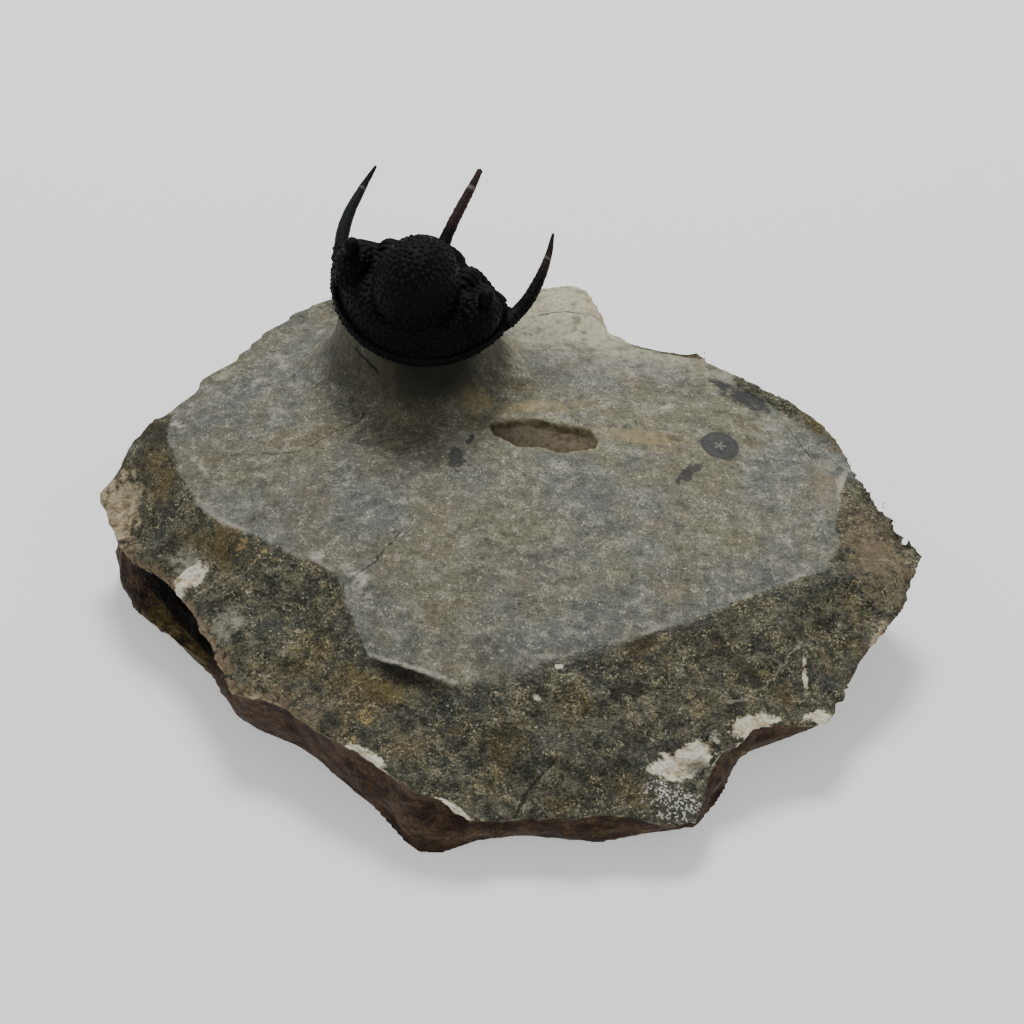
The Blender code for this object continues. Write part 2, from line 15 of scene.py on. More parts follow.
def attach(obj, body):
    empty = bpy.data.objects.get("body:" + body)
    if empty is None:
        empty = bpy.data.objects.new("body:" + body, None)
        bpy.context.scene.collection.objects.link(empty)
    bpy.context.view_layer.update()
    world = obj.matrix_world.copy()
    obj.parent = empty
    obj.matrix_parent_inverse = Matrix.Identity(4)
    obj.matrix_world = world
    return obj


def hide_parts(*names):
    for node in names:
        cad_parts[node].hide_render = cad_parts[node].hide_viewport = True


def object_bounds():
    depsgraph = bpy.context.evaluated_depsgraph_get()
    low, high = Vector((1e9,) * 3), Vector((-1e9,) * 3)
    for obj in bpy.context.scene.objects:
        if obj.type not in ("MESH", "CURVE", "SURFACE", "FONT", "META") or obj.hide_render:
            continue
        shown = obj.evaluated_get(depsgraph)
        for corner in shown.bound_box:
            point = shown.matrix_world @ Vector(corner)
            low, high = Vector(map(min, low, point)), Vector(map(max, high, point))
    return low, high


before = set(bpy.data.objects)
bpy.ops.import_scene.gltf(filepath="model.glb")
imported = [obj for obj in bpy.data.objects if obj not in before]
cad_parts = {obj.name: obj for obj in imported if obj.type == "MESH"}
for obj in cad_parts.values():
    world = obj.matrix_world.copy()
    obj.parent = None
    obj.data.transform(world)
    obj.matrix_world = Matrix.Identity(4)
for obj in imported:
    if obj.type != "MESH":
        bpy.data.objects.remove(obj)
solid_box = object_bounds()

MM = 0.001

# The same seed as in the solids, so that the chips tilt alike
SEED = 7
noise.seed_set(SEED)

# Stone: the widest edge all round with its height above the ground, clockwise from the right tip
RIM = [
    (30.1, -2.1, 7.0), (29.3, -4.1, 6.8), (28.7, -6.2, 6.4), (26.9, -9.2, 6.0), (25.4, -11.0, 5.8),
    (24.4, -12.9, 5.2), (22.9, -16.1, 4.6), (22.4, -17.1, 4.5), (20.7, -17.4, 4.6), (18.9, -17.7, 5.0),
    (17.4, -18.3, 5.2), (15.5, -19.5, 4.9), (14.2, -20.7, 4.4), (13.8, -22.8, 3.8), (13.0, -25.3, 3.0),
    (11.7, -25.8, 3.2), (9.5, -25.5, 3.6), (4.8, -25.6, 3.8), (-0.4, -25.4, 3.4), (-2.5, -26.0, 3.8),
    (-4.2, -25.3, 4.8), (-6.1, -24.3, 5.4), (-8.7, -22.9, 6.0), (-12.4, -19.9, 6.0), (-15.4, -17.1, 6.0),
    (-17.3, -16.1, 6.0), (-19.2, -15.5, 5.8), (-20.3, -13.3, 6.2), (-21.5, -10.0, 6.4), (-23.4, -6.3, 6.5),
    (-24.3, -4.6, 6.6), (-26.2, -3.4, 6.6), (-28.7, -0.5, 6.7), (-29.4, 2.4, 6.8), (-30.1, 4.7, 7.0),
    (-28.3, 6.6, 8.6), (-28.1, 7.5, 9.3), (-26.6, 8.7, 10.9), (-25.4, 9.1, 11.2), (-23.3, 11.3, 11.6),
    (-22.9, 12.6, 11.9), (-20.3, 15.7, 12.2), (-16.3, 19.9, 12.7), (-13.6, 21.4, 12.9), (-8.3, 24.3, 12.9),
    (-5.2, 26.0, 12.9), (-3.4, 25.4, 12.9), (-1.5, 22.7, 12.8), (-0.1, 20.0, 12.7), (2.5, 22.6, 13.2),
    (4.7, 22.8, 13.2), (6.1, 22.5, 12.8), (7.3, 20.1, 12.2), (7.7, 18.2, 12.0), (9.5, 16.7, 12.0),
    (12.3, 16.1, 12.1), (14.6, 15.9, 12.1), (17.2, 13.3, 11.7), (20.9, 11.1, 11.2), (23.4, 8.5, 10.6),
    (25.2, 6.2, 9.8), (26.2, 3.9, 9.2), (28.3, 1.3, 8.2), (29.0, -0.1, 7.8),
]

# Stone: the edge of the smooth top, where the broken band starts
SHOULDER = [
    (24.9, 4.5), (24.2, 1.5), (23.6, -0.7), (23.9, -2.6), (22.7, -5.1), (18.7, -7.5), (13.0, -10.9),
    (7.7, -13.2), (2.4, -15.0), (0.3, -16.0), (-3.3, -16.8), (-7.2, -15.4), (-9.6, -14.6), (-10.6, -12.1),
    (-11.4, -10.3), (-11.9, -8.2), (-13.2, -7.0), (-15.2, -6.1), (-18.0, -4.3), (-20.6, -2.7), (-22.9, 0.3),
    (-24.0, 3.0), (-25.0, 7.2), (-24.8, 8.7), (-22.6, 10.9), (-22.1, 12.1), (-19.6, 15.0), (-15.7, 19.0),
    (-13.2, 20.5), (-8.0, 23.2), (-5.1, 25.0), (-3.7, 24.4), (-2.0, 21.8), (-0.6, 19.3), (2.0, 21.9),
    (4.4, 22.0), (5.5, 21.6), (6.5, 19.8), (6.9, 17.6), (9.0, 15.9), (12.0, 15.3), (14.2, 15.0),
    (16.7, 12.4), (20.3, 10.2), (22.6, 8.0), (24.2, 6.0),
]

# Stone: the outline of the flat base on the ground
FOOT = [
    (26.8, -1.0), (26.0, -4.5), (24.0, -8.5), (22.0, -12.6), (20.0, -13.6), (16.5, -15.4), (15.8, -16.9),
    (15.2, -19.0), (14.3, -20.6), (13.0, -22.6), (9.5, -23.2), (6.4, -24.1), (1.0, -23.4), (-2.1, -23.9),
    (-4.2, -25.0), (-6.0, -25.1), (-7.2, -23.9), (-9.2, -20.8), (-11.7, -18.0), (-13.3, -16.0),
    (-14.8, -14.6), (-17.6, -13.0), (-19.4, -11.4), (-20.5, -8.6), (-22.5, -6.0), (-24.5, -3.0),
    (-26.1, 0.6), (-27.3, 3.6), (-27.6, 5.6), (-24.3, 8.8),
    (-22.0, 11.4), (-19.3, 14.4), (-13.0, 20.0), (-8.0, 22.4), (-4.9, 24.2), (-3.4, 23.6),
    (-1.9, 21.2), (-0.5, 19.4), (1.8, 21.7), (4.2, 21.3), (5.9, 20.8), (6.5, 17.3), (8.5, 15.5),
    (11.5, 14.7), (13.8, 14.4), (16.3, 12.3), (19.5, 10.5), (22.0, 8.5), (24.0, 5.5), (26.0, 2.5),
]

HUB = Vector((-6.5, 11.0))
SPOKES = 420
TOP_RINGS = 24
BAND_RINGS = 20
WALL_RINGS = 18
STONE_VOXEL = 0.2
STONE_TRIANGLES = 185000
ROUNDING = 1e-6

# Smooth top: a low dome that drops 1 mm at these distances from its crest, across and front to back
CREST = Vector((-4.0, 11.35, 13.4))
DOME_RUN = (15.0, 12.2)
BACK_BLOCK = {"middle": Vector((4.6, 21.2)), "reach": 5.1, "rise": 0.9}

# Broken band and undercut side
CHIP_SIZE = 5.5
CHIP_DEPTH = 2.2
CHIP_GROWTH = 3.0
CHIP_MEAN = 0.28
FULL_BAND = 4.0
LEDGE = {"heading": -91.5, "reach": 9.0, "drop": 1.0}
CAVE = {"heading": -135.0, "reach": 20.0, "depth": -3.6}
LOBE = {"heading": -148.0, "reach": 40.0, "depth": 1.4}
THROAT = -0.8
WORN_RIM = {"heading": -128.0, "reach": 40.0}
# Painted shadow: black in the cave under the overhanging rim at the front left
CAVE_SHADOW = {"facing": (-0.8, -0.6), "outer": 22.1}
SOFT_EDGE = {"heading": -72.0, "reach": 16.0}
WALL_BENDS = (0.0, 0.3, 0.65, 1.0)
FINE_CHIPS = ((2.4, 0.26), (0.9, 0.08), (0.42, 0.03))

# Shallow recess in the top in front of the animal
RECESS = [(-1.4, 5.5), (-0.9, 6.0), (2.4, 6.4), (3.0, 6.1), (6.0, 5.6), (6.6, 4.5), (6.4, 3.6), (4.1, 2.9),
          (2.2, 3.4), (0.8, 3.4), (-0.3, 4.0), (-1.1, 4.7)]
RECESS_DEPTH = 0.5

# Animal: its own axes are x to the right side, y to the tail and z to the back of the shell
ANIMAL_ORIGIN = Vector((-5.95, 14.63, 19.2))
ANIMAL_YAW = -21.5
ANIMAL_PITCH = 12.7
ANIMAL_ROLL = 12.4

# Head shield
HEAD_HALF_WIDTH = 7.04
HEAD_LENGTH = 7.93
HEAD_BACK = 0.7
HEAD_MIDDLE_Y = -3.0
HEAD_POINTS = 160
HEAD_RINGS = 40
HEAD_PROFILE = [
    (0.90, 0.0), (0.97, 0.08), (1.0, 0.42), (0.965, 0.82), (0.91, 0.80), (0.89, 1.4), (0.86, 2.1),
    (0.79, 2.65), (0.68, 2.95), (0.45, 3.1), (0.2, 3.15),
]
GLABELLA = {"centre": (0.0, -3.2, 3.75), "radii": (3.08, 3.5, 3.6)}
BASAL_LOBE = {"centre": (3.0, -0.6, 2.5), "radii": (1.0, 1.15, 0.95)}
EYE_MOUND = {"centre": (5.0, -2.75, 2.4), "radii": (1.45, 1.9, 1.65)}
EYE = {"centre": (5.29, -2.84, 4.6), "radii": (0.62, 0.72, 0.75)}
GENAL_SPINE = [(6.6, -1.4, 0.5), (7.0, 0.0, 0.5), (7.35, 1.2, 0.95), (7.5, 2.7, 1.5), (7.4, 4.6, 2.15),
               (7.1, 6.1, 3.1)]
GENAL_RADII = (0.5, 0.52, 0.5, 0.42, 0.29, 0.12)
GENAL_LEAN = 0.18
REAR_CHIPS = (4.6, 0.55)
HEAD_VOXEL = 0.066
HEAD_TRIANGLES = 190000
TUBERCLES = {"gap": 0.4, "radius": 0.17, "height": 0.13}
BORDER_GRAINS = {"gap": 0.33, "radius": 0.15, "height": 0.08}
SPINE_KNOBS = {"gap": 0.4, "radius": 0.18, "height": 0.035}
HIND_RIDGES = {"reach": 2.4, "spacing": 0.48, "height": 0.13}

# Thorax and tail: the shell curls round a cross axis, and angles run from straight up to the tail
CURL_CENTRE = Vector((-1.06, -2.4))
CURL_RADIUS = 5.5
CURL_TIGHTENING = 0.5
THORAX_START = 22.0
THORAX_END = 118.0
TAIL_END = 143.0
TAIL_ROUNDING = 0.85
TAIL_AXIS_TAPER = 0.6
TAIL_FLATTENING = 0.6
TAIL_RISES = (-0.1, 0.12, -0.06, 0.08, -0.06, 0.02, -0.1)
SEGMENTS = 12
SEGMENT_GAP = 0.8
CLOSED_GAP = 0.12
HALF_WIDTH_START = 6.3
HALF_WIDTH_END = 3.7
AXIS_HALF_WIDTH = (2.1, 1.15)
AXIS_RISE = (1.05, 0.7)
FULCRUM_SHARE = 0.53
FLANK_DROP = 1.75
FLANK_BEND = 1.15
PLATE_THICKNESS = 0.5
PLATE_RISES = (-0.16, -0.02, 0.1, 0.13, 0.08, 0.0, 0.05, 0.1, 0.07, -0.02)
PLATE_COLUMNS = 96
INNER_SHARE = 0.97
CORE_INNER_RADIUS = 0.4
CORE_WIDTH_SHARE = 0.94
OCCIPITAL_INNER_RADIUS = 2.9
OCCIPITAL_WIDTH_SHARE = 0.8
OCCIPITAL_SPAN = 13.0
OCCIPITAL_RISES = (-0.3, 0.0, 0.08, 0.12, 0.06, 0.0)
SPINE_SEGMENT = 6
AXIAL_SPINE = [(-0.3, 3.6, -0.3), (-0.3, 5.6, 0.45), (-0.2, 8.0, 1.0), (-0.1, 10.5, 1.5)]
AXIAL_RADII = (0.5, 0.43, 0.37, 0.22)
GRAIN_SPACING = 0.42
GRAIN_HEIGHT = 0.05

# Pedestal: a flared column from the underside of the head down to the smooth top
PEDESTAL_POINTS = 120
PEDESTAL_RINGS = 40
PEDESTAL_TOP = {"middle": (0.0, -2.6), "radii": (5.5, 5.0)}
PEDESTAL_FOOT = {"middle": (-6.6, 12.7), "radii": (9.2, 7.8)}
PEDESTAL_LEAN = 0.2
PEDESTAL_FLARE = 4.0
PEDESTAL_ROOT = 0.25
YELLOW_STAIN = {"middle": (-8.4, 7.6, 17.0), "reach": 2.2}
# Painted shadow: a dark spot on the pedestal under the front of the head
HEAD_SHADOW_SPOT = {"middle": (-5.0, 7.2, 17.6), "reach": 5.4}
CLEARANCE = 0.06

# Marks on the smooth top: middle, half sizes along and across, and turn in degrees
TOP_MARKS = {
    "dark": [
        ((-3.7, 1.9), (1.6, 0.8), 100.0), ((-2.8, 3.9), (0.8, 0.4), 75.0), ((18.0, 10.9), (2.5, 1.4), -25.0),
        ((13.1, 2.0), (1.6, 0.55), 55.0), ((16.0, 12.2), (1.3, 0.5), -30.0), ((12.2, 5.4), (0.7, 0.5), 0.0),
    ],
    "faint": [((6.7, -1.5), (2.6, 1.6), 15.0), ((6.7, 15.5), (0.45, 0.45), 0.0), ((3.5, 12.0), (3.0, 1.5), 0.0)],
    "pale": [
        ((11.7, 8.7), (1.1, 0.8), 0.0), ((-24.2, 7.6), (2.0, 0.6), -50.0), ((-22.6, 3.4), (2.2, 0.4), -62.0),
        ((-13.5, -6.4), (1.2, 0.5), -20.0), ((24.4, 3.4), (2.4, 0.6), 75.0), ((-10.6, -8.6), (2.2, 0.9), -60.0),
    ],
    "stain": [((9.6, 5.2), (4.2, 1.3), -4.0), ((2.0, 7.6), (4.5, 1.0), 5.0), ((-2.5, 7.6), (2.2, 1.1), 0.0)],
    # painted sheen: the raised back block made paler
    "back_sheen": [((7.0, 20.5), (13.0, 9.5), -12.0)],
    "shadow": [((-6.8, 5.0), (8.5, 6.5), 0.0)],
}
DISC = {"middle": (15.5, 5.2), "radius": 1.5}
CRACKS = [
    [(-10.9, 6.0), (-12.7, 5.0), (-13.9, 4.1), (-15.2, 3.2), (-20.2, 3.5)],
    [(-11.7, 6.3), (-10.9, 6.0), (-10.3, 6.9)],
    [(-7.5, -4.6), (-9.4, -7.2), (-11.6, -9.0), (-11.4, -10.3)],
    [(20.6, 8.5), (21.4, 7.0), (22.3, 5.5)],
    [(2.4, 18.9), (4.6, 19.2), (6.9, 19.0)],
]

# Marks on the broken rim, each with its height too
RIM_MARKS = {
    "calcite": [
        ((-22.7, -5.1, 7.7), (1.5, 1.0), 25.0), ((-9.6, -21.8, 6.0), (1.7, 0.7), -35.0),
        ((-4.0, -25.2, 4.6), (1.8, 0.5), -24.0), ((12.1, -20.9, 4.9), (2.9, 1.1), 32.0),
        ((17.0, -17.9, 5.2), (2.2, 0.8), 31.0), ((21.6, -16.5, 4.9), (1.0, 0.7), 0.0),
        ((20.8, -13.6, 6.0), (1.3, 0.2), 90.0), ((3.6, -15.2, 8.4), (0.45, 0.2), 0.0),
        ((2.0, -17.3, 7.6), (0.35, 0.3), 0.0),
    ],
    "tan": [
        ((-28.6, 2.6, 7.8), (2.4, 3.6), 12.0), ((-17.4, -16.2, 6.0), (2.2, 0.6), -27.0),
        ((26.1, -10.0, 5.9), (2.2, 0.4), 68.0),
        ((6.4, 20.6, 12.4), (1.9, 0.7), -65.0),
    ],
    "chalk": [((-19.8, -10.2, 7.3), (2.0, 2.0), 0.0), ((-23.0, -4.0, 8.0), (1.6, 1.4), 0.0)],
    "ochre": [
        ((23.4, 8.4, 10.4), (3.0, 1.3), -52.0), ((-25.0, 2.6, 9.8), (1.3, 2.6), 10.0),
        ((-21.0, -3.6, 10.0), (3.6, 1.0), -28.0), ((-8.6, -16.6, 8.0), (3.0, 1.0), -15.0),
        ((7.4, 20.4, 12.6), (0.8, 2.0), 8.0),
    ],
    "sandy": [((26.4, -2.6, 7.4), (2.8, 5.2), 16.0), ((23.0, 3.0, 9.6), (1.4, 3.0), 10.0)],
    "gold": [
        ((-9.7, -18.6, 7.2), (0.5, 0.8), 0.0), ((-19.0, -4.6, 10.3), (0.4, 0.9), -45.0),
        ((-17.8, -6.1, 10.0), (0.3, 0.9), -50.0), ((-10.6, -20.3, 6.6), (0.3, 0.5), 0.0),
    ],
    # shade: a dark inclusion in its own colour, and painted shade on facets and along a diagonal ridge of the band
    "shade": [
        ((-26.0, 6.9, 10.4), (2.8, 1.4), -64.0), ((12.9, -21.1, 4.7), (1.3, 0.6), 20.0),
        ((9.4, -12.9, 8.6), (2.0, 0.9), 20.0), ((16.0, -13.5, 7.4), (3.8, 0.8), -45.0),
    ],
    "glint": [((11.2, -24.0, 3.9), (1.9, 1.6), 0.0)],
    "moss": [((-23.8, -4.6, 1.0), (6.0, 3.4), -55.0)],
}
RUSTY_CRACK = [[(0.5, -25.2), (1.4, -23.5), (3.4, -21.9)]]
# Painted highlight along a ridge of the front band
RIDGE_HIGHLIGHT = [[(15.2, -16.9), (16.4, -16.2), (18.4, -14.2), (20.6, -11.6)]]
SHADED_SLIVER = [[(-11.1, 9.2, 17.3), (-10.3, 8.5, 16.8), (-9.6, 8.0, 16.3), (-9.3, 7.4, 15.6)]]

CAMERA_TARGET = Vector((0.3, 1.75, 8.0))
CAMERA_ELEVATION = 40.0
CAMERA_LENS = 120.0
CAMERA_DISTANCE = 249.1


# Shapes

def loft(rings, first_tip=None, last_tip=None):
    """Joins closed rings of equal length; each end is a flat cap or runs to a tip."""
    bm = bmesh.new()
    rows = [[bm.verts.new(point) for point in ring] for ring in rings]
    count = len(rows[0])
    for lower, upper in zip(rows, rows[1:]):
        for i in range(count):
            j = (i + 1) % count
            bm.faces.new((lower[i], lower[j], upper[j], upper[i]))
    for row, tip in ((rows[0], first_tip), (rows[-1], last_tip)):
        if tip is None:
            bm.faces.new(row)
        else:
            point = bm.verts.new(tip)
            for i in range(count):
                bm.faces.new((row[i], row[(i + 1) % count], point))
    bmesh.ops.recalc_face_normals(bm, faces=bm.faces)
    return bm


def joined(solids):
    """One mesh out of several overlapping ones."""
    mesh = bpy.data.meshes.new("joined")
    whole = bmesh.new()
    for bm in solids:
        bm.to_mesh(mesh)
        whole.from_mesh(mesh)
        bm.free()
    bpy.data.meshes.remove(mesh)
    return whole


def evaluated(mesh, kind, **settings):
    """The mesh after one modifier."""
    carrier = bpy.data.objects.new("carrier", mesh)
    bpy.context.scene.collection.objects.link(carrier)
    modifier = carrier.modifiers.new(kind, kind)
    for key, value in settings.items():
        setattr(modifier, key, value)
    bpy.context.view_layer.update()
    result = bpy.data.meshes.new_from_object(carrier.evaluated_get(bpy.context.evaluated_depsgraph_get()))
    bpy.data.objects.remove(carrier, do_unlink=True)
    bpy.data.meshes.remove(mesh)
    return result


def fused(bm, name, voxel):
    """Overlapping solids made one skin of even squares."""
    mesh = bpy.data.meshes.new(name)
    bm.to_mesh(mesh)
    bm.free()
    return evaluated(mesh, "REMESH", mode="VOXEL", voxel_size=voxel, use_smooth_shade=True)


def thinned(mesh, triangles):
    """The mesh with fewer triangles where it is flat."""
    found = sum(len(face.vertices) - 2 for face in mesh.polygons)
    if found <= triangles:
        return mesh
    return evaluated(mesh, "DECIMATE", ratio=triangles / found)


def points_of(mesh):
    flat = np.empty(len(mesh.vertices) * 3)
    mesh.vertices.foreach_get("co", flat)
    return flat.reshape(-1, 3)


def normals_of(mesh):
    flat = np.empty(len(mesh.vertices) * 3)
    mesh.vertex_normals.foreach_get("vector", flat)
    return flat.reshape(-1, 3)


def move_points(mesh, points):
    mesh.vertices.foreach_set("co", np.ascontiguousarray(points).ravel())
    mesh.update()


def mark(mesh, name, values):
    """A value at each point, which the material reads."""
    layer = mesh.attributes.new(name, "FLOAT", "POINT")
    layer.data.foreach_set("value", np.ascontiguousarray(values, dtype=np.float32))


def smoothstep(value, low, high):
    share = np.clip((value - low) / (high - low), 0.0, 1.0)
    return share * share * (3.0 - 2.0 * share)


def window(value, middle, reach):
    """1 at the middle, falling smoothly to 0 at the reach."""
    share = np.abs(value - middle) / reach
    return np.where(share >= 1.0, 0.0, 0.5 + 0.5 * np.cos(np.pi * np.minimum(share, 1.0)))


def noise_at(points, size, seed=0.0):
    """Smooth noise between about -1 and 1 at each point."""
    shift = Vector((seed, seed * 1.7, seed * 2.3))
    return np.array([noise.noise(Vector(point) / size + shift) for point in points])


def chips(place, size):
    """Hollow chips that meet in ridges: 0 in the middle of a chip, more towards its edges."""
    spot = place / size
    heights = []
    for middle in noise.voronoi(spot)[1]:
        away = spot - middle
        heights.append(away.length_squared + 0.6 * away.dot(noise.noise_vector(middle * 7.0)))
    return min(heights) - CHIP_MEAN


def chips_at(points, size):
    return np.array([chips(Vector(point), size) for point in points])


def crossing(outline, heading):
    """Where a ray from the hub meets an outline: its distance and the height there."""
    direction = Vector((math.cos(heading), math.sin(heading)))
    for start, end in zip(outline, outline[1:] + outline[:1]):
        offset = Vector(start[:2]) - HUB
        edge = Vector(end[:2]) - Vector(start[:2])
        turn = direction.cross(edge)
        if abs(turn) < ROUNDING:
            continue
        distance = offset.cross(edge) / turn
        share = offset.cross(direction) / turn
        if distance > 0.0 and -ROUNDING < share < 1.0 + ROUNDING:
            height = start[2] + (end[2] - start[2]) * share if len(start) == 3 else 0.0
            return distance, height
    raise ValueError("The outline has a gap")


def headings():
    """Spoke directions that meet the rim at nearly equal steps and at its corners."""
    corners = [Vector(point[:2]) for point in RIM]
    lengths = [(b - a).length for a, b in zip(corners, corners[1:] + corners[:1])]
    step = sum(lengths) / SPOKES
    found = []
    travelled = 0.0
    for i, length in enumerate(lengths):
        a = corners[i]
        b = corners[(i + 1) % len(corners)]
        while len(found) * step < travelled + length and len(found) < SPOKES:
            spot = a.lerp(b, (len(found) * step - travelled) / length) - HUB
            found.append(math.atan2(spot.y, spot.x))
        travelled += length
    for corner in corners:
        spot = corner - HUB
        turn = math.atan2(spot.y, spot.x)
        nearest = min(range(SPOKES), key=lambda k: abs(math.remainder(found[k] - turn, math.tau)))
        found[nearest] = turn
    return found


def top_height(x, y):
    """The smooth top, with the raised block at the back corner."""
    dome = CREST.z - ((x - CREST.x) / DOME_RUN[0]) ** 2 - ((y - CREST.y) / DOME_RUN[1]) ** 2
    away = np.hypot(x - BACK_BLOCK["middle"].x, y - BACK_BLOCK["middle"].y)
    return dome + BACK_BLOCK["rise"] * window(away, 0.0, BACK_BLOCK["reach"])


def spoke_points(heading):
    """One section of the stone, from the hub over the top and the band down to the foot."""
    direction = Vector((math.cos(heading), math.sin(heading)))
    degrees = math.degrees(heading)
    shoulder = crossing(SHOULDER, heading)[0]
    rim, rim_height = crossing(RIM, heading)
    foot = crossing(FOOT, heading)[0]
    points = []
    for i in range(1, TOP_RINGS + 1):
        spot = HUB + direction * shoulder * i / TOP_RINGS
        points.append(Vector((spot.x, spot.y, top_height(spot.x, spot.y))))
    edge_height = points[-1].z
    calm = min(1.0, (rim - shoulder) / FULL_BAND)
    for i in range(1, BAND_RINGS + 1):
        share = i / BAND_RINGS
        spot = HUB + direction * (shoulder + (rim - shoulder) * share)
        height = edge_height + (rim_height - edge_height) * share
        dent = chips(Vector((spot.x, spot.y, height)), CHIP_SIZE) * CHIP_DEPTH
        height += dent * calm * min(1.0, share * CHIP_GROWTH, (1.0 - share) * CHIP_GROWTH * 2.0)
        height -= LEDGE["drop"] * (1.0 - share) * window(degrees, LEDGE["heading"], LEDGE["reach"])
        points.append(Vector((spot.x, spot.y, height)))
    cave = CAVE["depth"] * window(degrees, CAVE["heading"], CAVE["reach"])
    lobe = LOBE["depth"] * window(degrees, LOBE["heading"], LOBE["reach"])
    pushes = (0.0, THROAT + cave, lobe, 0.0)
    for i in range(1, WALL_RINGS + 1):
        share = i / WALL_RINGS
        reach = rim + (foot - rim) * share + np.interp(share, WALL_BENDS, pushes)
        spot = HUB + direction * reach
        height = rim_height * (1.0 - share)
        if share < 1.0:
            dent = chips(Vector((spot.x, spot.y, height)), CHIP_SIZE) * CHIP_DEPTH
            spot += direction * min(0.0, dent)
        points.append(Vector((spot.x, spot.y, height)))
    return points


def stone_solid():
    sections = [spoke_points(heading) for heading in headings()]
    rings = list(zip(*sections))
    return loft(rings, first_tip=Vector((HUB.x, HUB.y, top_height(*HUB))))


def animal_turn():
    return (Matrix.Rotation(math.radians(ANIMAL_YAW), 4, "Z")
            @ Matrix.Rotation(math.radians(ANIMAL_PITCH), 4, "X")
            @ Matrix.Rotation(math.radians(ANIMAL_ROLL), 4, "Y"))


ANIMAL = Matrix.Translation(ANIMAL_ORIGIN) @ animal_turn()


def oval_point(oval, turn):
    x, y = oval["middle"]
    across, deep = oval["radii"]
    return x + across * math.cos(turn), y + deep * math.sin(turn)


def pedestal_solid():
    """Rings that start in the plane of the head's underside and flare out onto the smooth top."""
    rings = []
    for k in range(PEDESTAL_RINGS + 1):
        level = k / PEDESTAL_RINGS
        flare = PEDESTAL_LEAN * level + (1.0 - PEDESTAL_LEAN) * level ** PEDESTAL_FLARE
        ring = []
        for i in range(PEDESTAL_POINTS):
            turn = 2.0 * math.pi * i / PEDESTAL_POINTS
            x, y = oval_point(PEDESTAL_TOP, turn)
            under_head = ANIMAL @ Vector((x, y, -CLEARANCE))
            x, y = oval_point(PEDESTAL_FOOT, turn + math.radians(ANIMAL_YAW))
            on_stone = Vector((x, y, top_height(x, y) - PEDESTAL_ROOT))
            point = under_head.lerp(on_stone, flare)
            point.z = under_head.z + (on_stone.z - under_head.z) * level
            ring.append(point)
        rings.append(ring)
    return loft(rings)


def along(start, end, angle):
    """A value that goes from its start at the head to its end at the last plate."""
    share = (angle - THORAX_START) / (THORAX_END - THORAX_START)
    return start + (end - start) * max(0.0, share) ** 2


def tail_share(angle):
    return min(1.0, max(0.0, angle - THORAX_END) / (TAIL_END - THORAX_END))


def half_width(angle):
    """Half the width of the shell: it narrows along the thorax and is rounded off at the tail."""
    rounding = math.sqrt(1.0 - TAIL_ROUNDING * tail_share(angle) ** 2)
    return along(HALF_WIDTH_START, HALF_WIDTH_END, angle) * rounding


def axis_half_width(angle):
    return along(*AXIS_HALF_WIDTH, angle) * (1.0 - TAIL_AXIS_TAPER * tail_share(angle))


def shell_radius(lateral, angle):
    """Distance of the shell's outside from the curl's axis: a raised middle, then bent-down flanks."""
    half = half_width(angle)
    axis = axis_half_width(angle)
    rise = along(*AXIS_RISE, angle)
    furrow = CURL_RADIUS - along(0.0, CURL_TIGHTENING, angle) - rise
    away = abs(lateral)
    if away < axis:
        return furrow + rise * math.sqrt(1.0 - (away / axis) ** 2)
    fulcrum = half * FULCRUM_SHARE
    if away < fulcrum:
        return furrow + 0.1 * math.sin(math.pi * (away - axis) / (fulcrum - axis))
    drop = FLANK_DROP * (1.0 - TAIL_FLATTENING * tail_share(angle))
    return furrow - drop * ((min(away, half) - fulcrum) / (half - fulcrum)) ** FLANK_BEND


def curl_point(lateral, radius, angle):
    turn = math.radians(angle)
    return Vector((lateral,
                   CURL_CENTRE.x + radius * math.sin(turn),
                   CURL_CENTRE.y + radius * math.cos(turn)))


def shell_ring(angle, rise, inside, spread=1.0, grain=0.0):
    """A closed outline at one angle: across the outside of the shell and back along its inside."""
    half = half_width(angle) * spread
    places = [half * math.sin(math.pi * (i / PLATE_COLUMNS - 0.5)) for i in range(PLATE_COLUMNS + 1)]
    outer = []
    for x in places:
        bead = grain * math.cos(2.0 * math.pi * x / GRAIN_SPACING)
        outer.append(curl_point(x, shell_radius(x, angle) + rise + bead, angle))
    inner = [curl_point(x * INNER_SHARE, inside(x * INNER_SHARE), angle) for x in reversed(places)]
    return outer + inner


def plate_solid(start, end, rises, rings_each=2):
    """One shell plate between two angles, with beads along its ridges."""
    count = (len(rises) - 1) * rings_each
    rings = []
    for i in range(count + 1):
        share = i / count
        angle = start + (end - start) * share
        rise = float(np.interp(share * (len(rises) - 1), range(len(rises)), rises))
        grain = GRAIN_HEIGHT * max(0.0, rise) / 0.13
        rings.append(shell_ring(angle, rise, lambda x: shell_radius(x, angle) - PLATE_THICKNESS, 1.0, grain))
    return loft(rings)


def core_solid():
    """The stone that fills the curled shell."""
    rings = []
    count = 40
    for i in range(count + 1):
        angle = THORAX_START + (TAIL_END - SEGMENT_GAP - THORAX_START) * i / count
        rings.append(shell_ring(angle, -PLATE_THICKNESS - 2.0 * CLEARANCE, lambda x: CORE_INNER_RADIUS,
                                CORE_WIDTH_SHARE))
    return loft(rings)


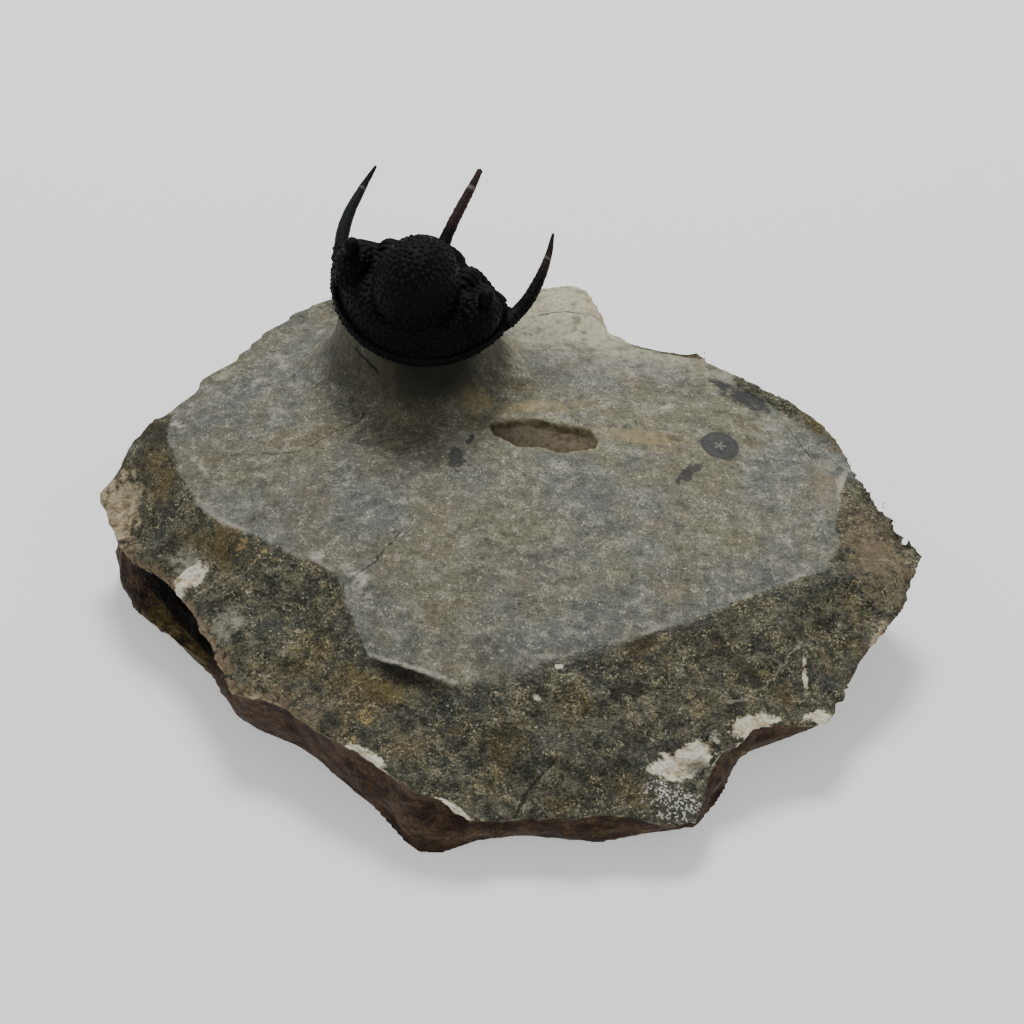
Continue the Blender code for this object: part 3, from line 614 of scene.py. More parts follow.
def tapered_rod(points, radii, steps=60, sides=20, knobs=0.0):
    """A smooth round rod along a curve through the points, thinner towards its rounded tip."""
    places = np.array(points)
    marks = np.linspace(0.0, 1.0, len(points))
    fine = np.linspace(0.0, 1.0, steps)
    path = np.stack([smooth_curve(marks, places[:, k], fine) for k in range(3)], axis=1)
    widths = smooth_curve(marks, np.array(radii), fine)
    rings = []
    for i in range(steps):
        ahead = Vector(path[min(i + 1, steps - 1)] - path[max(i - 1, 0)]).normalized()
        side = ahead.cross(Vector((0.0, 0.0, 1.0))).normalized()
        over = side.cross(ahead)
        ring = []
        for k in range(sides):
            turn = 2.0 * math.pi * k / sides
            outward = side * math.cos(turn) + over * math.sin(turn)
            spot = Vector(path[i]) + outward * widths[i]
            ring.append(spot + outward * knobs * noise.noise(spot * 3.5))
        rings.append(ring)
    tip = Vector(path[-1]) + Vector(path[-1] - path[-2]).normalized() * widths[-1]
    return loft(rings, last_tip=tip)


def smooth_curve(marks, values, places):
    """Values at the places on a curve with no corners through the given ones."""
    slopes = np.gradient(values, marks)
    k = np.clip(np.searchsorted(marks, places) - 1, 0, len(marks) - 2)
    run = marks[k + 1] - marks[k]
    t = (places - marks[k]) / run
    return (values[k] * (1 + 2 * t) * (1 - t) ** 2 + slopes[k] * run * t * (1 - t) ** 2
            + values[k + 1] * t * t * (3 - 2 * t) - slopes[k + 1] * run * t * t * (1 - t))


def ball(shape, side=1.0, segments=40, rings=28):
    bm = bmesh.new()
    bmesh.ops.create_uvsphere(bm, u_segments=segments, v_segments=rings, radius=1.0)
    bmesh.ops.scale(bm, vec=Vector(shape["radii"]), verts=bm.verts)
    centre = shape["centre"]
    bmesh.ops.translate(bm, vec=Vector((centre[0] * side, centre[1], centre[2])), verts=bm.verts)
    return bm


def head_outline(turn):
    """A half oval in front and a shallow one behind, round the middle of the hind margin."""
    c = math.cos(turn)
    s = math.sin(turn)
    depth = HEAD_BACK if s > 0.0 else HEAD_LENGTH
    return Vector((HEAD_HALF_WIDTH * c, depth * s))


def head_dome():
    rings = []
    middle = Vector((0.0, HEAD_MIDDLE_Y))
    marks = np.linspace(0.0, 1.0, len(HEAD_PROFILE))
    fine = np.linspace(0.0, 1.0, HEAD_RINGS)
    shares = smooth_curve(marks, np.array([p[0] for p in HEAD_PROFILE]), fine)
    heights = smooth_curve(marks, np.array([p[1] for p in HEAD_PROFILE]), fine)
    for share, height in zip(shares, heights):
        ring = []
        for i in range(HEAD_POINTS):
            spot = middle.lerp(head_outline(2.0 * math.pi * i / HEAD_POINTS), share)
            ring.append(Vector((spot.x, spot.y, height)))
        rings.append(ring)
    bm = loft(rings, last_tip=Vector((0.0, HEAD_MIDDLE_Y, HEAD_PROFILE[-1][1])))
    turn = math.radians(THORAX_START - SEGMENT_GAP)
    cut = bmesh.ops.bisect_plane(bm, geom=bm.verts[:] + bm.edges[:] + bm.faces[:], dist=1e-5,
                                 plane_co=Vector((0.0, CURL_CENTRE.x, CURL_CENTRE.y)),
                                 plane_no=Vector((0.0, math.cos(turn), -math.sin(turn))),
                                 clear_outer=True)
    rim = [edge for edge in cut["geom_cut"] if isinstance(edge, bmesh.types.BMEdge)]
    bmesh.ops.holes_fill(bm, edges=rim, sides=0)
    return bm


def occipital_ring():
    """The raised hind margin of the head, shaped like one more plate of the thorax."""
    start = THORAX_START - SEGMENT_GAP / 2.0 - OCCIPITAL_SPAN
    count = 12
    rings = []
    for i in range(count + 1):
        share = i / count
        rise = float(np.interp(share * (len(OCCIPITAL_RISES) - 1), range(len(OCCIPITAL_RISES)), OCCIPITAL_RISES))
        rings.append(shell_ring(start + OCCIPITAL_SPAN * share, rise, lambda x: OCCIPITAL_INNER_RADIUS,
                                OCCIPITAL_WIDTH_SHARE))
    return loft(rings)


def placed(mesh, name, look, node, turned=True):
    """Makes a finished mesh a piece of the scene that stands for its solid."""
    frame_matrix = (Matrix.Diagonal((MM, MM, MM, 1.0)) @ ANIMAL) if turned else Matrix.Diagonal((MM, MM, MM, 1.0))
    mesh.transform(frame_matrix)
    mesh.name = name
    mesh.shade_smooth()
    mesh.materials.clear()
    mesh.materials.append(look)
    piece = bpy.data.objects.new(name, mesh)
    bpy.context.scene.collection.objects.link(piece)
    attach(piece, "root")
    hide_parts(node)
    return piece


# Stone

def outline_distance(x, y, outline):
    """Distance to a closed outline in millimetres, negative inside it."""
    nearest = np.full(len(x), 1e9)
    inside = np.zeros(len(x), dtype=bool)
    for (ax, ay), (bx, by) in zip(outline, outline[1:] + outline[:1]):
        run = (bx - ax) ** 2 + (by - ay) ** 2
        t = np.clip(((x - ax) * (bx - ax) + (y - ay) * (by - ay)) / run, 0.0, 1.0)
        nearest = np.minimum(nearest, np.hypot(x - ax - t * (bx - ax), y - ay - t * (by - ay)))
        level = (ay > y) != (by > y)
        slope = (bx - ax) / (by - ay) if by != ay else 0.0
        inside ^= level & (x < ax + (y - ay) * slope)
    return np.where(inside, -nearest, nearest)


def in_marks(x, y, marks):
    """1 in the middle of the nearest mark, 0 on its edge and less outside."""
    best = np.full(len(x), -3.0)
    for middle, sizes, degrees in marks:
        turn = math.radians(degrees)
        dx = x - middle[0]
        dy = y - middle[1]
        u = (dx * math.cos(turn) + dy * math.sin(turn)) / sizes[0]
        v = (dy * math.cos(turn) - dx * math.sin(turn)) / sizes[1]
        best = np.maximum(best, 1.0 - np.hypot(u, v))
    return best


def stone_places(points):
    """How far each point lies outside the shoulder, below the rim and over the top, and the band's width there."""
    turns = np.linspace(-math.pi, math.pi, 2161)
    shoulder = np.array([crossing(SHOULDER, turn)[0] for turn in turns])
    rims = np.array([crossing(RIM, turn) for turn in turns])
    dx = points[:, 0] - HUB.x
    dy = points[:, 1] - HUB.y
    heading = np.arctan2(dy, dx)
    reach = np.hypot(dx, dy)
    outside = reach - np.interp(heading, turns, shoulder)
    below = np.interp(heading, turns, rims[:, 1]) - points[:, 2]
    over = points[:, 2] - top_height(points[:, 0], points[:, 1])
    return outside, below, over, np.interp(heading, turns, rims[:, 0] - shoulder)


def stone_mesh():
    mesh = fused(joined([stone_solid(), pedestal_solid(), core_solid()]), "stone", STONE_VOXEL)
    points = points_of(mesh)
    normals = normals_of(mesh)
    outside, below, over, width = stone_places(points)
    broken = smoothstep(width, 1.0, 3.0) * smoothstep(outside, 0.0, 1.4)
    under = smoothstep(below, 0.2, 1.0)
    rough = np.maximum(broken, under) * smoothstep(points[:, 2], 0.02, 0.6)
    pile = np.zeros(len(points))
    for size, depth in FINE_CHIPS:
        pile += depth * 2.0 * chips_at(points, size)
    swell = 0.035 * noise_at(points, 1.6) + 0.05 * noise_at(points, 5.0, 3.0)
    carved = smoothstep(over, 0.3, 1.5)
    grooves = 0.05 * noise_at(points * np.array([1.0, 1.0, 0.12]), 0.5, 9.0) * carved
    rear = smoothstep(points[:, 1] - HUB.y, 3.0, 10.0) * smoothstep(below, 1.5, 4.5)
    pile += REAR_CHIPS[1] * 2.0 * chips_at(points, REAR_CHIPS[0]) * rear
    push = pile * rough + (swell + grooves) * (1.0 - rough)
    push *= smoothstep(points[:, 2], 0.01, 0.3)
    points = points + normals * push[:, None]
    ragged = 0.16 * noise_at(points, 0.5, 5.0) + 0.12 * noise_at(points, 1.3, 6.0)
    edge = outline_distance(points[:, 0], points[:, 1], RECESS) + ragged
    hollow = smoothstep(-edge, -0.05, 0.3) * (over < 1.0) * (over > -1.5)
    points[:, 2] -= hollow * (RECESS_DEPTH + 0.12 * noise_at(points, 0.9, 2.0))
    low = np.array(solid_box[0]) / MM
    high = np.array(solid_box[1]) / MM
    points = np.clip(points, low, high)
    move_points(mesh, points)
    return thinned(mesh, STONE_TRIANGLES)


def mark_stone(mesh):
    points = points_of(mesh)
    x, y, z = points.T
    outside, below, over, width = stone_places(points)
    heading = np.degrees(np.arctan2(y - HUB.y, x - HUB.x))
    on_top = (below < -0.5) & (outside < 1.5)
    mark(mesh, "outside", outside * smoothstep(width, 0.9, 2.6) - 0.6 * smoothstep(width, 1.6, 0.8))
    mark(mesh, "below", below)
    mark(mesh, "carved", smoothstep(over, 0.15, 1.8))
    mark(mesh, "ledge", window(heading, LEDGE["heading"], LEDGE["reach"]))
    mark(mesh, "front", smoothstep(-np.sin(np.radians(heading)), 0.0, 0.4))
    mark(mesh, "worn", window(heading, WORN_RIM["heading"], WORN_RIM["reach"]))
    mark(mesh, "soft", window(heading, SOFT_EDGE["heading"], SOFT_EDGE["reach"]))
    # painted shadow in the cave under the rim
    inward = CAVE_SHADOW["outer"] - x * CAVE_SHADOW["facing"][0] - y * CAVE_SHADOW["facing"][1]
    cave_shadow = smoothstep(inward, 0.0, 0.7) * smoothstep(z, 0.6, 1.6)
    mark(mesh, "cave_shadow", cave_shadow * smoothstep(below, 1.0, 2.0) * window(heading, CAVE["heading"] - 4.0, CAVE["reach"] * 1.4))
    mark(mesh, "hollow", np.where(on_top, -outline_distance(x, y, RECESS), -3.0))
    for name, marks in TOP_MARKS.items():
        mark(mesh, name, in_marks(x, y, marks))
    for name, marks in RIM_MARKS.items():
        best = np.full(len(points), -3.0)
        for (cx, cy, cz), sizes, turn in marks:
            off_level = np.maximum(0.0, np.abs(z - cz) - 1.2)
            best = np.maximum(best, in_marks(x, y, [((cx, cy), sizes, turn)]) - 0.35 * off_level)
        mark(mesh, name, best)


# Animal

def scatter(points, allowed, gap, seed):
    """Picks points at random that keep a distance from each other."""
    picker = random.Random(seed)
    order = [int(i) for i in np.nonzero(allowed)[0]]
    picker.shuffle(order)
    cell = gap
    taken = {}
    chosen = []
    for i in order:
        place = points[i]
        key = tuple(int(math.floor(c / cell)) for c in place)
        close = False
        for dx in (-1, 0, 1):
            for dy in (-1, 0, 1):
                for dz in (-1, 0, 1):
                    for other in taken.get((key[0] + dx, key[1] + dy, key[2] + dz), ()):
                        if np.sum((points[other] - place) ** 2) < gap * gap:
                            close = True
        if not close:
            taken.setdefault(key, []).append(i)
            chosen.append(i)
    return chosen


def knobbed(points, allowed, form, seed):
    """Rounded knobs scattered over the allowed points, as a height for every point."""
    picker = random.Random(seed)
    seeds = scatter(points, allowed, form["gap"], seed)
    tree = kdtree.KDTree(len(seeds))
    sizes = []
    for k, i in enumerate(seeds):
        tree.insert(Vector(points[i]), k)
        sizes.append(picker.uniform(0.75, 1.2))
    tree.balance()
    rises = np.zeros(len(points))
    for i, place in enumerate(points):
        spot, k, away = tree.find(Vector(place))
        share = away / (form["radius"] * sizes[k])
        if share < 1.0 and allowed[i]:
            rises[i] = form["height"] * sizes[k] * (1.0 - share * share) ** 0.8
    return rises


def head_mesh():
    """The head shield as one skin, and how far each point was raised into a knob."""
    solids = [head_dome(), occipital_ring(), ball(GLABELLA, 1.0, 64, 44)]
    for side in (-1.0, 1.0):
        solids.append(ball(EYE_MOUND, side))
        solids.append(ball(BASAL_LOBE, side))
        solids.append(ball(EYE, side))
        lean = [GENAL_LEAN * i / (len(GENAL_SPINE) - 1) for i in range(len(GENAL_SPINE))]
        spine = [(x * side + off, y, z) for (x, y, z), off in zip(GENAL_SPINE, lean)]
        solids.append(tapered_rod(spine, GENAL_RADII, knobs=0.03))
    mesh = fused(joined(solids), "head", HEAD_VOXEL)
    mesh = evaluated(mesh, "SMOOTH", factor=0.5, iterations=3)
    points = points_of(mesh)
    normals = normals_of(mesh)
    x, y, z = points.T
    turn = math.radians(THORAX_START)
    behind = (y - CURL_CENTRE.x) * math.cos(turn) - (z - CURL_CENTRE.y) * math.sin(turn)
    eye = on_eyes(points)
    spine = (np.abs(x) > HEAD_HALF_WIDTH - 0.9) & (y > -0.4)
    hidden = (z < 0.25) | ((np.abs(behind) < 0.12) & (normals[:, 1] > 0.8))
    hind = (behind > -HIND_RIDGES["reach"]) & (np.abs(x) < HEAD_HALF_WIDTH - 0.9)
    border = (z < 0.95) & ~spine & ~hidden
    outer_knobs = spine & (x > HEAD_HALF_WIDTH) & (y > 0.2) & (y < 3.6)
    rises = knobbed(points, ~(eye | spine | hidden | hind | border), TUBERCLES, SEED)
    rises = np.maximum(rises, knobbed(points, border & ~hind, BORDER_GRAINS, SEED + 1))
    rises = np.maximum(rises, knobbed(points, outer_knobs, SPINE_KNOBS, SEED + 2))
    waves = 0.5 + 0.5 * np.cos(2.0 * np.pi * behind / HIND_RIDGES["spacing"])
    rises = np.where(hind & ~hidden & ~eye, HIND_RIDGES["height"] * waves, rises)
    rough = np.where(eye, 0.07, 0.012) * noise_at(points, 0.16)
    move_points(mesh, points + normals * (rises + rough)[:, None])
    mark(mesh, "tip", rises / TUBERCLES["height"])
    return thinned(mesh, HEAD_TRIANGLES)


def on_eyes(points):
    found = np.zeros(len(points), dtype=bool)
    for side in (-1.0, 1.0):
        offset = (points - np.array(EYE["centre"]) * np.array([side, 1.0, 1.0])) / np.array(EYE["radii"])
        found |= np.sum(offset ** 2, axis=1) < 1.35
    return found


def mark_shell(mesh):
    """Where the shell is rusty, green, mended or an eye."""
    points = points_of(mesh)
    x, y, z = points.T
    right_spine = smoothstep(x, 6.6, 7.0) * smoothstep(y, 2.6, 4.2)
    left_spine = smoothstep(-x, 6.3, 6.9) * smoothstep(y, -0.5, 0.5)
    axial = smoothstep(y, 4.8, 5.6) * (np.abs(x) < 1.2)
    mark(mesh, "rust", np.maximum(right_spine, axial))
    mark(mesh, "green", left_spine)
    mark(mesh, "eye", on_eyes(points))
    mend = window(y, 4.4, 0.12) * (np.abs(x) > 6.0)
    mend = np.maximum(mend, window(y, 8.8, 0.25) * (np.abs(x) < 1.2))
    mark(mesh, "mended", mend)


# Materials

def colour(red, green, blue):
    """A colour from 0-255 screen values to linear ones."""
    def linear(value):
        share = value / 255.0
        return share / 12.92 if share <= 0.04045 else ((share + 0.055) / 1.055) ** 2.4
    return (linear(red), linear(green), linear(blue), 1.0)


class Look:
    """A material's node tree, with short calls for the nodes that it needs."""

    def __init__(self, name):
        self.material = bpy.data.materials.new(name)
        self.material.use_nodes = True
        self.tree = self.material.node_tree
        self.shader = self.tree.nodes["Principled BSDF"]
        self.textures = {}
        coords = self.tree.nodes.new("ShaderNodeTexCoord")
        self.place = self.vector("MULTIPLY", coords.outputs["Object"], (1.0 / MM, 1.0 / MM, 1.0 / MM))

    def feed(self, socket, value):
        if isinstance(value, bpy.types.NodeSocket):
            self.tree.links.new(value, socket)
        else:
            socket.default_value = value

    def node(self, kind, **settings):
        made = self.tree.nodes.new(kind)
        for key, value in settings.items():
            setattr(made, key, value)
        return made

    def vector(self, operation, a, b):
        made = self.node("ShaderNodeVectorMath", operation=operation)
        self.feed(made.inputs[0], a)
        self.feed(made.inputs[1], b)
        return made.outputs[0]

    def length(self, a, b):
        """Distance between two places."""
        made = self.node("ShaderNodeVectorMath", operation="DISTANCE")
        self.feed(made.inputs[0], a)
        self.feed(made.inputs[1], b)
        return made.outputs["Value"]

    def math(self, operation, a, b=0.0):
        made = self.node("ShaderNodeMath", operation=operation)
        self.feed(made.inputs[0], a)
        self.feed(made.inputs[1], b)
        return made.outputs[0]

    def texture(self, kind, settings, place=None):
        """A texture, made once for each set of numbers and place."""
        place = place or self.place
        key = (kind, tuple(settings.items()), place)
        if key not in self.textures:
            made = self.node(kind)
            self.feed(made.inputs["Vector"], place)
            for name, value in settings.items():
                self.feed(made.inputs[name], value)
            self.textures[key] = made
        return self.textures[key]

    def noise(self, size, detail=3.0, roughness=0.55, place=None):
        settings = {"Scale": 1.0 / size, "Detail": detail, "Roughness": roughness}
        return self.texture("ShaderNodeTexNoise", settings, place).outputs["Fac"]

    def cells(self, size, place=None):
        return self.texture("ShaderNodeTexVoronoi", {"Scale": 1.0 / size}, place)

    def shaken(self, size, amount):
        """The place moved at random by up to half the amount."""
        drift = self.texture("ShaderNodeTexNoise", {"Scale": 1.0 / size, "Detail": 2.0, "Roughness": 0.5})
        centred = self.vector("SUBTRACT", drift.outputs["Color"], (0.5, 0.5, 0.5))
        return self.vector("ADD", self.place, self.vector("MULTIPLY", centred, (amount, amount, amount)))

    def along(self, direction):
        """How far the place lies that way."""
        made = self.node("ShaderNodeVectorMath", operation="DOT_PRODUCT")
        self.feed(made.inputs[0], self.place)
        self.feed(made.inputs[1], direction)
        return made.outputs["Value"]

    def band(self, value, low, high):
        """0 below low, 1 above high and smooth between."""
        made = self.node("ShaderNodeMapRange", interpolation_type="SMOOTHSTEP")
        self.feed(made.inputs["Value"], value)
        self.feed(made.inputs["From Min"], low)
        self.feed(made.inputs["From Max"], high)
        return made.outputs["Result"]

    def mix(self, share, a, b):
        made = self.node("ShaderNodeMix", data_type="RGBA")
        self.feed(made.inputs[0], share)
        self.feed(made.inputs[6], a)
        self.feed(made.inputs[7], b)
        return made.outputs[2]

    def tint(self, base, mask, strength, over):
        """The colour with another laid over it where the mask is 1."""
        return self.mix(self.math("MULTIPLY", mask, strength), base, over)

    def value(self, name):
        return self.node("ShaderNodeAttribute", attribute_name=name).outputs["Fac"]

    def grain(self, size, channel=0, place=None):
        """A random number for each grain of that size; the three channels don't repeat each other."""
        made = self.node("ShaderNodeSeparateColor")
        self.feed(made.inputs[0], self.cells(size, place).outputs["Color"])
        return made.outputs[channel]

    def shade(self, base, value, low, high):
        """The colour times a grey that runs from low to high as the value runs from 0 to 1."""
        amount = self.math("ADD", self.math("MULTIPLY", value, high - low), low)
        made = self.node("ShaderNodeMix", data_type="RGBA", blend_type="MULTIPLY")
        self.feed(made.inputs[0], 1.0)
        self.feed(made.inputs[6], base)
        grey = self.node("ShaderNodeCombineColor")
        for k in range(3):
            self.feed(grey.inputs[k], amount)
        self.feed(made.inputs[7], grey.outputs[0])
        return made.outputs[2]

    def bump(self, height, depth, normal=None):
        """Raises the surface by the height times a depth in millimetres."""
        made = self.node("ShaderNodeBump")
        self.feed(made.inputs["Height"], height)
        self.feed(made.inputs["Distance"], depth * MM)
        self.feed(made.inputs["Strength"], 1.0)
        if normal is not None:
            self.feed(made.inputs["Normal"], normal)
        return made.outputs["Normal"]


def line_distance(look, place, lines):
    """Distance to the nearest of some lines, in millimetres."""
    nearest = None
    for line in lines:
        for start, end in zip(line, line[1:]):
            run = (Vector(end) - Vector(start)).to_3d()
            offset = look.vector("SUBTRACT", place, Vector(start).to_3d())
            dot = look.node("ShaderNodeVectorMath", operation="DOT_PRODUCT")
            look.feed(dot.inputs[0], offset)
            look.feed(dot.inputs[1], run / run.length_squared)
            share = look.node("ShaderNodeClamp")
            look.feed(share.inputs["Value"], dot.outputs["Value"])
            step = look.node("ShaderNodeVectorMath", operation="SCALE")
            look.feed(step.inputs[0], run)
            look.feed(step.inputs["Scale"], share.outputs[0])
            away = look.length(offset, step.outputs[0])
            nearest = away if nearest is None else look.math("MINIMUM", nearest, away)
    return nearest


def scratches(look, size):
    """Short pale flecks that lie from left to right."""
    stretched = look.vector("MULTIPLY", look.place, (0.5, 1.0, 1.0))
    return look.band(look.noise(size, 2.0, 0.7, stretched), 0.6, 0.7)


def threads(look, size):
    """Thin crooked lines that come and go."""
    level = look.math("ABSOLUTE", look.math("SUBTRACT", look.noise(size, 4.0, 0.6), 0.5))
    return look.math("MULTIPLY", look.band(level, 0.016, 0.004), look.band(look.noise(1.5, 4.0, 0.7), 0.5, 0.6))


def top_rock(look):
    """Warm grey, paler to the right and back, mottled, with a fine speckle and pale scratches."""
    mid = look.noise(3.2, 4.0, 0.6)
    mottle = look.noise(1.5, 4.0, 0.7)
    small = look.noise(0.8, 4.0, 0.65)
    streaks = look.noise(0.9, 3.0, 0.7, look.vector("MULTIPLY", look.place, (0.4, 1.0, 1.0)))
    rock = look.mix(look.band(look.noise(11.0, 3.0), 0.38, 0.62), colour(118, 116, 96), colour(110, 112, 105))
    rock = look.tint(rock, look.band(mid, 0.5, 0.66), 0.45, colour(120, 108, 80))
    rock = look.tint(rock, look.band(mid, 0.46, 0.32), 0.45, colour(80, 82, 79))
    rock = look.tint(rock, look.band(mottle, 0.53, 0.68), 0.35, colour(164, 163, 149))
    rock = look.tint(rock, look.band(mottle, 0.45, 0.32), 0.45, colour(66, 66, 57))
    rock = look.tint(rock, look.band(small, 0.55, 0.66), 0.4, colour(170, 168, 150))
    rock = look.tint(rock, look.band(small, 0.45, 0.34), 0.4, colour(60, 60, 52))
    rock = look.tint(rock, look.band(streaks, 0.53, 0.7), 0.45, colour(156, 155, 140))
    rock = look.tint(rock, look.band(streaks, 0.45, 0.3), 0.45, colour(72, 72, 64))
    rock = look.shade(rock, look.noise(0.35, 3.0, 0.7), 0.45, 1.6)
    rock = look.shade(rock, look.grain(0.09), 0.65, 1.35)
    rock = look.tint(rock, threads(look, 0.9), 0.6, colour(200, 196, 176))
    specks = look.math("MULTIPLY", look.band(small, 0.48, 0.58), look.band(look.grain(0.11, 1), 0.9, 0.96))
    rock = look.tint(rock, specks, 0.6, colour(216, 212, 192))
    return look.shade(rock, look.band(look.along((0.8, 0.45, 0.0)), -24.0, 20.0), 0.84, 1.07)


def top_marks(look, rock, ragged):
    """Stains, fossil scraps, a painted sheen on the raised back block, the floor of the recess and the round disc in
    the smooth top.
    """
    def where(name, low, high):
        return look.band(look.math("ADD", look.value(name), ragged), low, high)

    # painted sheen on the raised back block, with the top's mottle kept in it
    back_sheen = look.tint(colour(214, 208, 176), look.band(look.noise(1.5, 4.0, 0.7), 0.48, 0.34), 0.6, colour(104, 98, 76))
    back_sheen = look.tint(back_sheen, look.band(look.noise(0.8, 4.0, 0.65), 0.48, 0.34), 0.5, colour(104, 98, 76))
    back_sheen = look.shade(back_sheen, look.noise(0.35, 3.0, 0.7), 0.3, 1.7)
    rock = look.tint(rock, look.band(look.value("back_sheen"), 0.0, 0.8), 0.7, back_sheen)
    rock = look.tint(rock, where("dark", 0.0, 0.4), 0.85, colour(46, 46, 50))
    rock = look.tint(rock, where("faint", 0.0, 0.9), 0.4, colour(76, 76, 78))
    rock = look.tint(rock, where("pale", 0.2, 0.8), 0.65, colour(196, 192, 176))
    rock = look.tint(rock, where("stain", -0.1, 1.0), 0.6, colour(160, 144, 98))
    hollow = look.band(look.value("hollow"), -0.1, 0.15)
    earth = look.mix(look.band(look.noise(0.8, 4.0, 0.65), 0.4, 0.6), colour(74, 64, 42), colour(100, 92, 68))
    earth = look.shade(earth, look.band(look.along((1.0, 0.0, 0.0)), 1.0, 4.5), 0.7, 1.04)
    earth = look.shade(earth, look.grain(0.09), 0.8, 1.2)
    rock = look.mix(hollow, rock, earth)
    lip = look.math("SUBTRACT", look.band(look.value("hollow"), -0.35, -0.1), hollow)
    rock = look.tint(rock, lip, 0.3, colour(150, 138, 104))

    centre = (DISC["middle"][0], DISC["middle"][1], 0.0)
    flat = look.vector("MULTIPLY", look.place, (1.0, 1.0, 0.0))
    away = look.length(flat, centre)
    edge = look.math("ADD", away, look.math("MULTIPLY", ragged, 0.12))
    rock = look.tint(rock, look.band(edge, DISC["radius"], DISC["radius"] - 0.15), 0.85, colour(58, 60, 62))
    ring = look.math("MULTIPLY", look.band(away, 1.25, 1.1), look.band(away, 0.8, 0.95))
    rock = look.tint(rock, ring, 0.15, colour(96, 98, 100))
    split = look.node("ShaderNodeSeparateXYZ")
    look.feed(split.inputs[0], look.vector("SUBTRACT", flat, centre))
    heading = look.math("ARCTAN2", split.outputs[1], split.outputs[0])
    lobes = look.math("COSINE", look.math("MULTIPLY", heading, 5.0))
    star_edge = look.math("ADD", look.math("MULTIPLY", lobes, 0.2), 0.3)
    star = look.band(look.math("SUBTRACT", star_edge, away), -0.05, 0.08)
    return look.tint(rock, star, 0.5, colour(150, 148, 138))


def carved_rock(look, rock):
    """The pedestal: darker, partly painted shade, with streaks that fan out from the head, a yellow stain and a painted
    shadow below the head.
    """
    offset = look.vector("SUBTRACT", look.place, (*PEDESTAL_FOOT["middle"], 0.0))
    flat = look.node("ShaderNodeVectorMath", operation="NORMALIZE")
    look.feed(flat.inputs[0], look.vector("MULTIPLY", offset, (1.0, 1.0, 0.0)))
    spread = look.vector("ADD", flat.outputs[0], look.vector("MULTIPLY", look.place, (0.0, 0.0, 0.03)))
    fan = look.noise(0.09, 4.0, 0.6, spread)
    carved = look.value("carved")
    # darker pedestal rock, partly painted shade under the head
    rock = look.tint(rock, carved, 0.65, colour(62, 61, 46))
    rock = look.tint(rock, look.math("MULTIPLY", carved, look.band(fan, 0.5, 0.68)), 0.35, colour(104, 102, 84))
    rock = look.tint(rock, look.math("MULTIPLY", carved, look.band(fan, 0.46, 0.34)), 0.35, colour(46, 46, 36))
    rock = look.shade(rock, look.band(look.value("shadow"), 0.0, 1.0), 1.0, 0.62)
    near = look.length(look.place, YELLOW_STAIN["middle"])
    rock = look.tint(rock, look.band(near, YELLOW_STAIN["reach"], 0.3), 0.3, colour(84, 78, 34))
    # painted shadow on the pedestal under the front of the head
    near = look.length(look.place, HEAD_SHADOW_SPOT["middle"])
    return look.tint(rock, look.band(near, HEAD_SHADOW_SPOT["reach"], 2.0), 0.88, colour(18, 17, 10))


def band_rock(look):
    """Dark olive sandy rock, broken in facets with painted facet shading, clusters of pale and black grains and golden
    threads.
    """
    mid = look.noise(3.2, 4.0, 0.6)
    mottle = look.noise(1.5, 4.0, 0.7)
    small = look.noise(0.8, 4.0, 0.65)
    rock = look.mix(look.band(small, 0.36, 0.64), colour(60, 60, 47), colour(98, 96, 80))
    rock = look.tint(rock, look.band(mid, 0.5, 0.66), 0.6, colour(94, 82, 50))
    rock = look.tint(rock, look.band(mid, 0.46, 0.32), 0.5, colour(62, 68, 66))
    # painted facet shading: cells lighter or darker at random, as facets turned to or from the light
    rock = look.shade(rock, look.grain(2.2, 2, look.shaken(1.6, 1.6)), 0.78, 1.22)
    rock = look.shade(rock, look.band(mid, 0.4, 0.6), 0.86, 1.12)
    rock = look.shade(rock, look.noise(0.35, 3.0, 0.7), 0.0, 2.05)
    rock = look.shade(rock, look.grain(0.09), 0.5, 1.5)
    rock = look.tint(rock, scratches(look, 0.16), 0.4, colour(160, 154, 126))
    specks = look.math("MULTIPLY", look.band(mottle, 0.42, 0.6), look.band(look.grain(0.11), 0.84, 1.0))
    rock = look.tint(rock, specks, 0.7, colour(206, 198, 168))
    rock = look.tint(rock, look.band(look.grain(0.11, 2), 0.9, 0.95), 0.7, colour(16, 15, 10))
    return look.tint(rock, threads(look, 0.7), 0.65, colour(196, 182, 132))


def wall_rock(look):
    """Dark brown weathered side under the rim, with thin pale layers, black slits, a mossy lobe and painted shadow in
    the cave under the rim.
    """
    layers = look.noise(1.0, 4.0, 0.65, look.vector("MULTIPLY", look.place, (0.5, 0.5, 1.3)))
    slits = look.noise(0.9, 3.0, 0.6, look.vector("MULTIPLY", look.place, (0.35, 0.35, 1.8)))
    small = look.noise(0.8, 4.0, 0.65)
    rock = look.mix(look.band(layers, 0.38, 0.62), colour(46, 31, 20), colour(80, 62, 44))
    rock = look.tint(rock, look.band(small, 0.54, 0.66), 0.4, colour(104, 88, 64))
    moss = look.mix(look.band(small, 0.38, 0.56), colour(30, 24, 12), colour(92, 82, 44))
    rock = look.tint(rock, look.band(look.value("moss"), 0.0, 0.4), 0.85, moss)
    rock = look.tint(rock, look.band(layers, 0.63, 0.7), 0.4, colour(150, 130, 104))
    rock = look.tint(rock, look.band(slits, 0.36, 0.3), 0.8, colour(14, 10, 7))
    rock = look.shade(rock, look.noise(0.35, 3.0, 0.7), 0.3, 1.7)
    rock = look.shade(rock, look.grain(0.11), 0.6, 1.4)
    # painted shadow in the cave under the rim
    return look.tint(rock, look.band(look.value("cave_shadow"), 0.2, 0.55), 0.95, colour(8, 6, 4))


